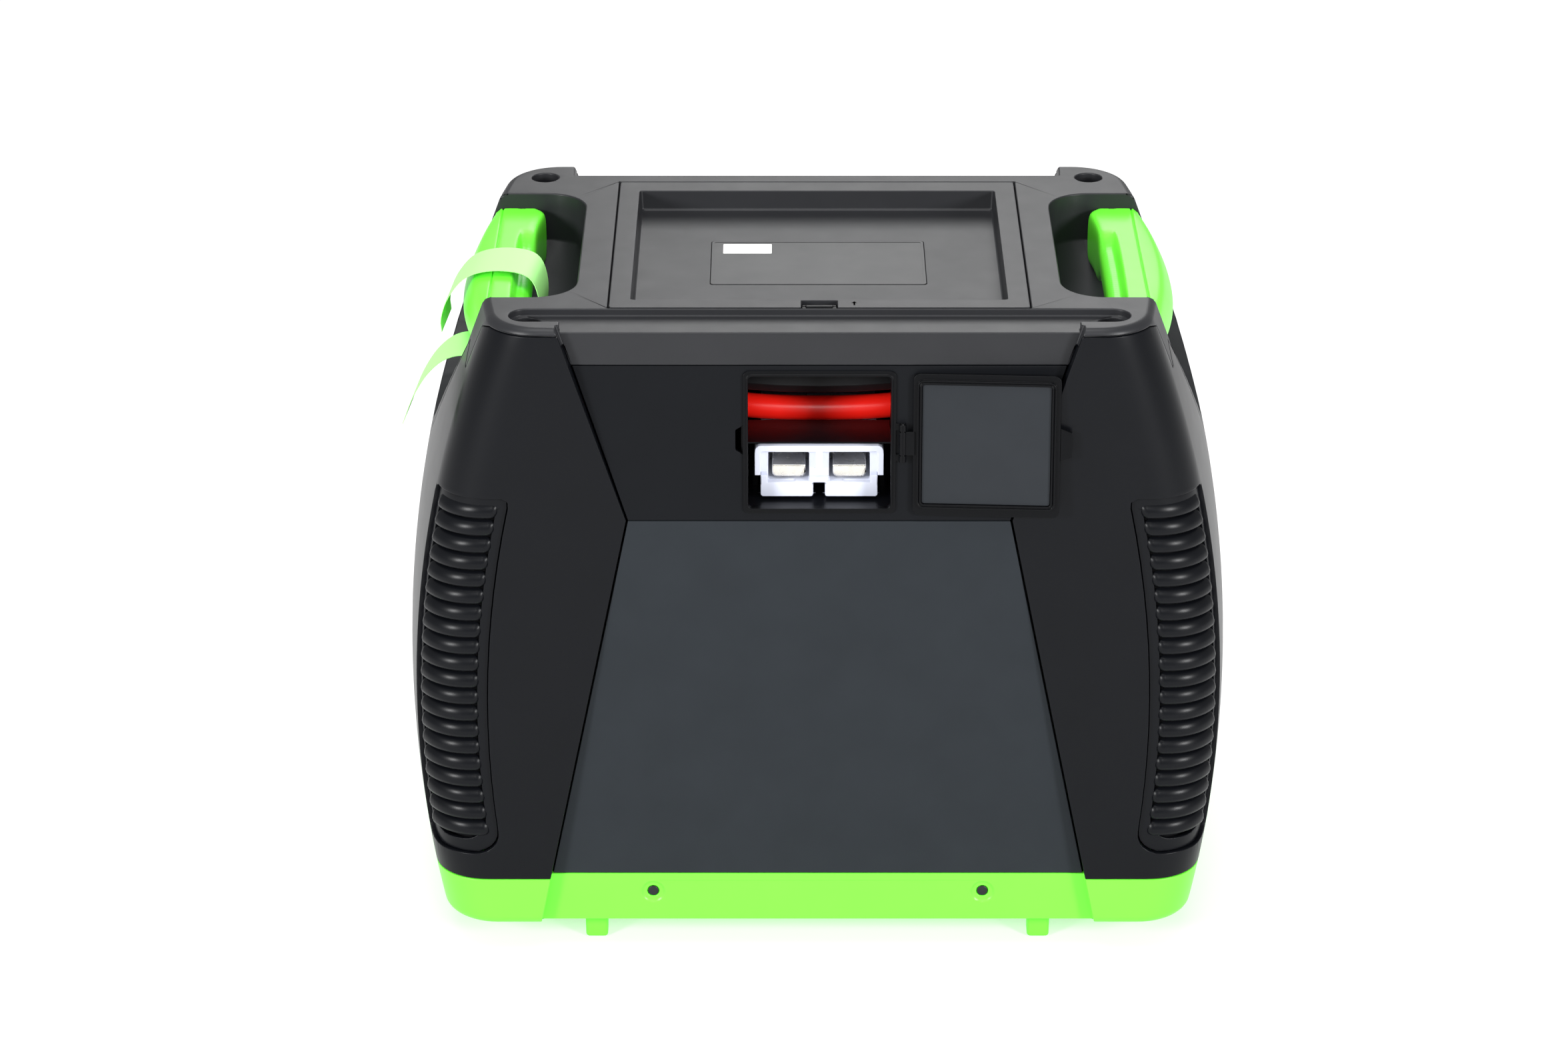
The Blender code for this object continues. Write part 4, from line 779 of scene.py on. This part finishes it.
def build_lid():
    """Lid with its tray, the pocket for the label, two hinge tabs and the slot for the latch."""
    top, floor = TOP_Z, TRAY_FLOOR_Z
    skin = rounded(-LID_HALF_X, LID_HALF_X, LID_Y[0], LID_Y[1], 0.0015, 4)
    skin = prism(skin, top - LID_SKIN, top, "XY")
    low = (-TRAY_HALF_X - TRAY_WALL, TRAY_Y[0] - TRAY_WALL, floor - TRAY_WALL)
    steps = plus(block(low, (TRAY_HALF_X + TRAY_WALL, TRAY_Y[1] + TRAY_WALL, top - 0.001)))
    bowl = []
    for z, inset in ((floor, 0.0016), (floor + 0.0006, 0.0005), (floor + 0.0018, 0), (ABOVE_Z, -0.0012)):
        half, front, back = TRAY_HALF_X - inset, TRAY_Y[0] + inset, TRAY_Y[1] - inset
        bowl.append([(x, y, z) for x, y in rounded(-half, half, front, back, 0.002, 4)])
    steps += less(loft(bowl))
    half_x, half_y = LABEL_HALF
    pocket = rounded(-half_x, half_x, LABEL_Y - half_y, LABEL_Y + half_y, 0.002, 5)
    steps += less(prism(pocket, floor - 0.0008, ABOVE_Z, "XY"))
    for side, _ in SIDES:
        left, right = side * TAB_X - TAB_HALF, side * TAB_X + TAB_HALF
        steps += plus(block((left, 0.1010, 0.3965), (right, 0.1046, top - 0.001)))
        steps += plus(block((left, 0.1015, 0.3965), (right, 0.1120, 0.3986)))
    low = (-LATCH_SLOT_HALF_X, LID_Y[0] - 0.002, top - 0.012)
    steps += less(block(low, (LATCH_SLOT_HALF_X, LATCH_SLOT_BACK_Y, ABOVE_Z)))
    piece("lid_shell", carve(skin, *steps), "cover_grey", "lid", ["lid"], 0.0006, 3)


def build_lid_marks():
    """Blank label with a raised border and a blank white sticker, and an arrow beside the latch."""
    floor = TRAY_FLOOR_Z
    plate = prism(rounded(-0.0632, 0.0632, -0.0352, 0.0372, 0.002, 5), floor - 0.0005, floor + 0.0002, "XY")
    field = prism(rounded(-0.0618, 0.0618, -0.0338, 0.0358, 0.0015, 5), floor, floor + 0.001, "XY")
    piece("label_plate_film", carve(plate, *less(field)), "label_film", "lid", ["label_plate"], 0)
    sticker = prism(rounded(-0.0565, -0.0275, 0.0165, 0.0325, 0.0006, 3), floor, floor + 0.00012, "XY")
    piece("label_sticker", sticker, "label_film", "lid", (), 0, material="sticker_white")
    x, y = 0.0200, -0.0985
    half_stem, half_head, neck = 0.0005, 0.0018, y + 0.0005
    arrow = [(x - half_stem, y - 0.0030), (x + half_stem, y - 0.0030), (x + half_stem, neck)]
    arrow += [(x + half_head, neck), (x, y + 0.0032), (x - half_head, neck), (x - half_stem, neck)]
    piece("latch_arrow", prism(arrow, TOP_Z - 0.0005, TOP_Z, "XY"), "cover_grey", "lid", (), 0)


# ---------------------------------------------------------------- handles


def handle_section(y):
    """Section of a carry handle at y, in X and Z; its inner side has a long finger shelf."""
    t = min(1.0, abs(y) / WELL_HALF_LENGTH)
    tip = WELL_TIP_Z - WELL_TIP_SLOPE * (HANDLE_INNER_X - WELL_INNER_X)
    well_floor = tip + (WELL_SHOULDER_Z - tip) * t**LOBE_POWER
    low, high = max(HANDLE_Z[0], well_floor + 0.0008), HANDLE_Z[1]
    inner = HANDLE_INNER_X + 0.006 * (1 - t**4)
    bow = 1 - t * t
    top_outer, outer = 0.196 + 0.008 * bow, 0.198 + 0.0125 * bow
    rear, front = (0.052 - y) / 0.022, (y + 0.080) / 0.016
    shelf = min(1.0, max(0.0, rear)) * min(1.0, max(0.0, front))
    shelf = shelf * shelf * (3 - 2 * shelf)
    knob = max(0.0, (y - 0.079) / 0.0095)
    inner += 0.009 * (1 - math.sqrt(max(0.0, 1 - knob * knob)))
    deep = 0.010 * min(1.0, max(0.0, (y - 0.030) / 0.020))
    edge = 0.1775 + 0.0015 * bow
    return (
        (inner + 0.007, low - deep * 0.6),
        (inner + 0.002, low + 0.002 - deep),
        (inner, low + 0.007 - deep),
        (inner, high - 0.006 - 0.005 * shelf),
        (inner + 0.0012, high - 0.0012 - 0.0072 * shelf),
        (inner + 0.0045, high - 0.0058 * shelf),
        (edge - 0.0022, high - 0.0066 * shelf),
        (edge - 0.0004, high - 0.0040 * shelf),
        (edge + 0.0008, high),
        (edge + 0.0030, high),
        (0.1902, high),
        (0.1909, high - 0.0003),
        (0.1915, high - 0.0014),
        (0.1921, high - 0.0003),
        (0.1928, high - 0.0001),
        (top_outer - 0.0025, high - 0.0010),
        (top_outer, high - 0.0030),
        ((top_outer + outer) / 2 + 0.001, high - 0.011),
        (outer, low + 0.006),
        (outer - 0.0010, low + 0.0015),
        (outer - 0.006, low),
        ((inner + outer) / 2, low),
    )


def build_handles():
    """Both grips, rounded by subdivision; the edges of their flat ends stay crisp."""
    reach = WELL_HALF_LENGTH - GAP - 0.0002
    stations = [reach * i / 26 for i in range(-26, 27)]
    for side, name in SIDES:
        rings = [[(side * x, y, z) for x, z in handle_section(y)] for y in stations]
        made = piece(f"{name}_handle_grip", loft(rings), "green_plastic", "case", [f"{name}_handle"], 0)
        rounder = made.modifiers.new("rounder", "SUBSURF")
        rounder.levels = rounder.render_levels = 2
        crease = made.data.attributes.new("crease_edge", "FLOAT", "EDGE")
        for edge in made.data.edges:
            if all(abs(made.data.vertices[i].co.y - POD_Y) > reach - 0.00001 for i in edge.vertices):
                crease.data[edge.index].value = 0.9
        for face in made.data.polygons:
            face.use_smooth = True
        settled(made)
        smooth(made.data, 50)


# ---------------------------------------------------------------- port and flap

# Frame on the front crease: Z runs up the sloping port panel and -Y points out of it.
PORT_LEAN = math.atan2(abs(FRONT_TOP_Y) - abs(FRONT_CREASE_Y), BAND_Z - CREASE_Z)
PORT = Matrix.Translation((0, FRONT_CREASE_Y, CREASE_Z)) @ Matrix.Rotation(PORT_LEAN, 4, "X")
PORT_HALF = 0.0408
PORT_HEIGHT = (0.0080, 0.0875)

# Frame on the flap's hinge, turned as far as the flap stands open at rest.
FLAP_AXIS = Vector((0.0475, -0.0026, 0))
FLAP_LEAN = math.radians(3.8)
FLAP = PORT @ Matrix.Translation(FLAP_AXIS) @ Matrix.Rotation(-FLAP_LEAN, 4, "Z")
FLAP_OUTLINE = (0.0059, 0.0899, 0.0045, 0.0898)
FLAP_RIDGE = (0.0082, 0.0872, 0.0092, 0.0863)
FLAP_SKIN = 0.0020
HINGE_HEIGHT = (0.0410, 0.0550)
HINGE_RADIUS = 0.0021
HINGE_BORE = 0.0013


def within(outline, by, radius, steps=6):
    """A rounded rectangle that lies inside another by a distance, or round it if that is negative."""
    left, right, foot, head = outline
    return rounded(left + by, right - by, foot + by, head - by, radius, steps)


def build_port():
    """Bezel round the port, with a thin raised lip and the two outer hinge knuckles."""
    opening = (-PORT_HALF, PORT_HALF, *PORT_HEIGHT)
    outer = prism(within(opening, -0.0030, 0.0036), -0.0012, -0.0003)
    steps = plus(
        prism(within(opening, -0.0007, 0.0006, 2), -0.0010, 0.0040),
        prism(within(opening, -0.0012, 0.0034), -0.0017, -0.0006),
    )
    steps += less(prism(rounded(*opening, 0.0024), -0.010, 0.010))
    x, y = FLAP_AXIS.x, FLAP_AXIS.y
    bottom, top = HINGE_HEIGHT
    for start, stop in ((bottom - 0.0043, bottom - GAP), (top + GAP, top + 0.0043)):
        steps += plus(
            block((PORT_HALF + 0.0005, -0.0012, start), (x + 0.0022, -GAP, stop)),
            block((x - 0.0014, y, start), (x + 0.0014, -0.0008, stop)),
            rod((x, y, start), (x, y, stop), HINGE_RADIUS),
        )
    steps += less(rod((x, y, bottom - 0.006), (x, y, top + 0.006), HINGE_BORE, None, 24))
    ring = carve(outer, *steps)
    piece("port_bezel_ring", ring, "rubber_black", "case", ["port_bezel"], 0.0003, 2, place=PORT)


def build_flap():
    """Rubber flap with a double raised frame, an inlay, its strap and a pull tab."""
    near, far = FLAP_OUTLINE[:2]
    bottom, top = HINGE_HEIGHT
    groove = prism(within(FLAP_RIDGE, 0.0009, 0.0030), -0.010, -0.0010)
    groove = carve(groove, *less(prism(within(FLAP_RIDGE, 0.0015, 0.0025), -0.011, 0.001)))
    steps = plus(prism(rounded(*FLAP_RIDGE, 0.0038), -0.0016, 0.0010))
    steps += less(prism(within(FLAP_RIDGE, 0.0026, 0.0016), -0.010, 0.0003), groove)
    steps += plus(block((0.001, -0.0008, bottom), (near + 0.001, 0.0015, top)))
    steps += plus(rod((0, 0, bottom), (0, 0, top), HINGE_RADIUS))
    steps += less(rod((0, 0, bottom - 0.001), (0, 0, top + 0.001), HINGE_BORE, None, 24))
    tab = [(far - 0.001, 0.0385), (far + 0.0066, 0.0415), (far + 0.0066, 0.0560), (far - 0.001, 0.0590)]
    steps += plus(prism(tab, 0.0001, FLAP_SKIN - 0.0002))
    skin = carve(prism(rounded(*FLAP_OUTLINE, 0.0040), 0, FLAP_SKIN), *steps)
    piece("port_flap_skin", skin, "rubber_black", "flap", ["port_flap"], 0.0003, 2, place=FLAP)
    inlay = prism(within(FLAP_RIDGE, 0.0030, 0.0012), -0.0002, 0.0002)
    piece("port_flap_inlay", inlay, "panel_graphite", "flap", (), 0, material="flap_panel", place=FLAP)


# ---------------------------------------------------------------- connector

CONNECTOR_Y = (-0.1240, -0.0160)
CONNECTOR_Z = (0.2926, 0.3246)
CONNECTOR_HALF_X = 0.0337
HOOD_HALF_X = 0.0370
POLE_X = 0.0175
POLE_Z = 0.3091
LEAD_RADIUS = 0.00725


def build_connector():
    """Housing of the two-pole connector: a hood over two open cells, a rib and two lower jaws."""
    front, back = CONNECTOR_Y
    low, high = CONNECTOR_Z
    half, jaw = CONNECTOR_HALF_X, front + 0.0080
    outline = rounded(-HOOD_HALF_X, HOOD_HALF_X, high - 0.0300, high, 0.0034)
    arch = prism(outline, front - 0.0010, front + 0.0300)
    inside = rounded(-half, half, high - 0.0400, high - 0.0037, 0.0014, 3)
    arch_steps = less(
        block((-0.050, front - 0.010, high - 0.0400), (0.050, front + 0.050, high - 0.0184)),
        prism(inside, front - 0.010, front + 0.0050),
    )
    steps = plus(
        carve(arch, *arch_steps),
        block((-0.0019, front + 0.0004, high - 0.0148), (0.0019, front + 0.0060, high - 0.0030)),
        block((-0.0052, front + 0.0006, high - 0.0236), (0.0052, jaw, high - 0.0204)),
        block((-0.0140, front + 0.0016, high - 0.0236), (0.0140, jaw, high - 0.0212)),
    )
    for side, _ in SIDES:
        near, far = sorted((side * 0.0034, side * half))
        steps += plus(prism(rounded(near, far, low, high - 0.0232, 0.0014, 4), front, jaw))
        near, far = sorted((side * 0.0298, side * half))
        steps += plus(block((near, front, high - 0.0250), (far, jaw, high - 0.0188)))
    steps += less(block((-0.0034, front - 0.002, low - 0.001), (0.0034, front + 0.034, high - 0.0236)))
    for side, _ in SIDES:
        x = side * POLE_X
        cell = rounded(x - 0.0118, x + 0.0118, high - 0.0231, high - 0.0062, 0.0008, 2)
        steps += less(
            prism(cell, front - 0.002, front + 0.036),
            block((x - 0.0104, front, POLE_Z - 0.0040), (x + 0.0104, back - 0.030, POLE_Z + 0.0040)),
            rod((x, back - 0.034, POLE_Z), (x, back + 0.002, POLE_Z), 0.0106),
        )
    core = block((-half, front + 0.0046, low), (half, back, high - 0.0036))
    body = carve(core, *steps)
    piece("connector_body", body, "connector_grey", "case", ["connector_housing"], 0.0004, 3)


def build_contacts():
    """A thick contact in each cell, with a sloping nose, a flat blade and a barrel for the lead."""
    front, back = CONNECTOR_Y
    heel = back - 0.024
    for side, name in ((1, "positive"), (-1, "negative")):
        x = side * POLE_X
        tip, over = front + 0.0052, 0.3200
        nose = prism(rounded(x - 0.0097, x + 0.0097, 0.3026, 0.3124, 0.0030), tip, front + 0.0340)
        slope = [(tip, 0.3102), (front, over), (front + 0.0260, over), (front + 0.0200, 0.3120)]
        steps = less(prism(slope, x - 0.02, x + 0.02, "YZ"))
        low = (x - 0.0096, front + 0.0300, POLE_Z - 0.0025)
        steps += plus(block(low, (x + 0.0096, heel, POLE_Z + 0.0025)))
        steps += plus(rod((x, heel - 0.0035, POLE_Z), (x, back - 0.004, POLE_Z), 0.0098))
        steps += less(rod((x, heel + 0.001, POLE_Z), (x, back, POLE_Z), LEAD_RADIUS + GAP))
        contact = carve(nose, *steps)
        piece(f"{name}_contact_nose", contact, "contact_silver", "case", [f"{name}_contact"], 0.0009, 3)


# ---------------------------------------------------------------- red lead and care tag

# Routes as in the CAD model, in the case's frame.
POSITIVE_ROUTE = (
    (0.0175, -0.0380, 0.3091),
    (0.0175, -0.0080, 0.3091),
    (0.0230, 0.0250, 0.3100),
    (0.0500, 0.0600, 0.3130),
    (0.0900, 0.0560, 0.3200),
    (0.1160, 0.0150, 0.3290),
    (0.1140, -0.0300, 0.3330),
    (0.0860, -0.0640, 0.3330),
    (0.0440, -0.0780, 0.3310),
    (0.0000, -0.0805, 0.3300),
    (-0.0440, -0.0780, 0.3310),
    (-0.0860, -0.0640, 0.3330),
    (-0.1140, -0.0300, 0.3325),
    (-0.1240, 0.0080, 0.3290),
    (-0.1270, 0.0400, 0.3140),
    (-0.1300, 0.0580, 0.2920),
    (-0.1330, 0.0450, 0.2740),
    (-0.1350, 0.0100, 0.2670),
    (-0.1350, -0.0250, 0.2660),
)
TAG_ROUTE = (
    (-0.2395, -0.0785, 0.3270),
    (-0.2330, -0.0715, 0.3420),
    (-0.2235, -0.0645, 0.3545),
    (-0.2110, -0.0590, 0.3610),
    (-0.1900, -0.0550, 0.3605),
    (-0.1690, -0.0495, 0.3610),
    (-0.1625, -0.0410, 0.3690),
    (-0.1615, -0.0300, 0.3840),
    (-0.1680, -0.0205, 0.3955),
    (-0.1860, -0.0145, 0.3975),
    (-0.2040, -0.0165, 0.3945),
    (-0.2150, -0.0220, 0.3840),
    (-0.2195, -0.0270, 0.3725),
    (-0.2190, -0.0300, 0.3650),
)
TAG_WIDTH = 0.031
TAG_ACROSS = Vector((0.12, 1, 0.10)).normalized()


def smooth_route(points, step):
    """Points about a step apart along the Catmull-Rom curve through the given points."""
    points = [Vector(p) for p in points]
    ends = [2 * points[0] - points[1], *points, 2 * points[-1] - points[-2]]
    found = [points[0]]
    for a, b, c, d in zip(ends, ends[1:], ends[2:], ends[3:]):
        pieces = max(1, round((c - b).length / step))
        for i in range(1, pieces + 1):
            t = i / pieces
            bend = 2 * b + (c - a) * t + (2 * a - 5 * b + 4 * c - d) * t * t
            found.append((bend + (3 * b - 3 * c + d - a) * t**3) / 2)
    return found


def headings(points):
    """Each point of a route with its direction there."""
    neighbours = zip([points[0]] + points[:-1], points[1:] + [points[-1]])
    return zip(points, [(after - before).normalized() for before, after in neighbours])


def build_red_lead():
    """Round lead along its route, with the ring of points carried along without twist."""
    turns = [2 * math.pi * i / 24 for i in range(24)]
    across, rings = Vector((0, 0, 1)), []
    for here, along in headings(smooth_route(POSITIVE_ROUTE, 0.008)):
        across = (across - along * across.dot(along)).normalized()
        other = along.cross(across)
        rings.append([here + LEAD_RADIUS * (across * math.cos(a) + other * math.sin(a)) for a in turns])
    piece("positive_lead_cable", loft(rings), "lead_red", "case", ["positive_lead"], 0)


def build_tag():
    """Blank care tag looped round the left handle, a strip whose rulings all run one way."""
    points = smooth_route(TAG_ROUTE, 0.003)
    half_thickness = 0.00018
    stations = [TAG_ACROSS * (TAG_WIDTH / 2) * (i / 4 - 1) for i in range(9)]
    rings = []
    for here, along in headings(points):
        normal = along.cross(TAG_ACROSS).normalized() * half_thickness
        rings.append([here + a - normal for a in stations] + [here + a + normal for a in stations[::-1]])
    made = piece("care_tag_strip", loft(rings), "tag_paper", "case", ["care_tag"], 0)


# ---------------------------------------------------------------- studio


# Area lamps: name, place, point aimed at, size and power.
LAMPS = (
    ("key_top", (-0.2, -0.4, 2.4), (0, 0, 0.2), 1.5, 36),
    ("side_left", (-1.5, -1.5, 0.9), (0, 0, 0.25), 0.4, 40),
    ("side_right", (1.5, -1.5, 0.9), (0, 0, 0.25), 0.4, 40),
    ("front_high", (0, -2.7, 1.9), (0, 0, 0.25), 0.9, 16),
    ("back", (0.3, 2.2, 1.8), (0, 0, 0.2), 1.4, 22),
)


def build_floor():
    """Pale floor that glows a little, so that it stays white without strong light."""
    bpy.ops.mesh.primitive_plane_add(size=14, location=(0, 0, 0))
    floor = bpy.context.object
    floor.name = "studio_floor"
    pale, _, shader = nodes_of("pale_floor", (0.50, 0.50, 0.50), 0.8, shine=0.2)
    shader.inputs["Emission Color"].default_value = (1, 1, 1, 1)
    shader.inputs["Emission Strength"].default_value = 0.50
    floor.data.materials.append(pale)


def build_lights():
    """Soft white world and the area lamps."""
    scene = bpy.context.scene
    world = bpy.data.worlds.new("studio_world")
    world.use_nodes = True
    background = world.node_tree.nodes["Background"]
    background.inputs["Color"].default_value = (1, 1, 1, 1)
    background.inputs["Strength"].default_value = 0.42
    scene.world = world
    scene.view_settings.view_transform = "Standard"
    for name, place, aim, size, power in LAMPS:
        light = bpy.data.lights.new(name, "AREA")
        light.shape = "SQUARE"
        light.size = size
        light.energy = power
        lamp = bpy.data.objects.new(name, light)
        scene.collection.objects.link(lamp)
        lamp.location = place
        lamp.rotation_euler = (Vector(aim) - Vector(place)).to_track_quat("-Z", "Y").to_euler()


def build_camera():
    """Camera before the port side, above the pod and looking down on it."""
    scene = bpy.context.scene
    eye = bpy.data.cameras.new("camera")
    eye.lens = 105
    eye.sensor_width = 36
    camera = bpy.data.objects.new("camera", eye)
    scene.collection.objects.link(camera)
    camera.location = (-0.0202, -2.53925, 1.3428)
    camera.rotation_euler = (math.radians(66.21), 0, 0)
    scene.camera = camera


build_floor()
build_lights()
build_camera()
build_side_shells()
build_grilles()
build_base()
build_cover()
build_lid()
build_lid_marks()
build_handles()
build_port()
build_flap()
build_connector()
build_contacts()
build_red_lead()
build_tag()

# CAD nodes that are carried over take their slot's material, except these.
PAINT = {
    "lower_front_panel": "panel_graphite",
    "lower_rear_panel": "panel_graphite",
    "port_panel": "panel_black",
    "rear_panel": "panel_black",
    **{f"base_screw_{end}_{side}": "dark_steel" for _, end in ENDS for _, side in SIDES},
}
for subpart in frame["record"]["subparts"]:
    node = subpart["node"]
    if not frame["nodes"][node].hide_render:
        refine(node, PAINT.get(node, subpart["material_slot"]))
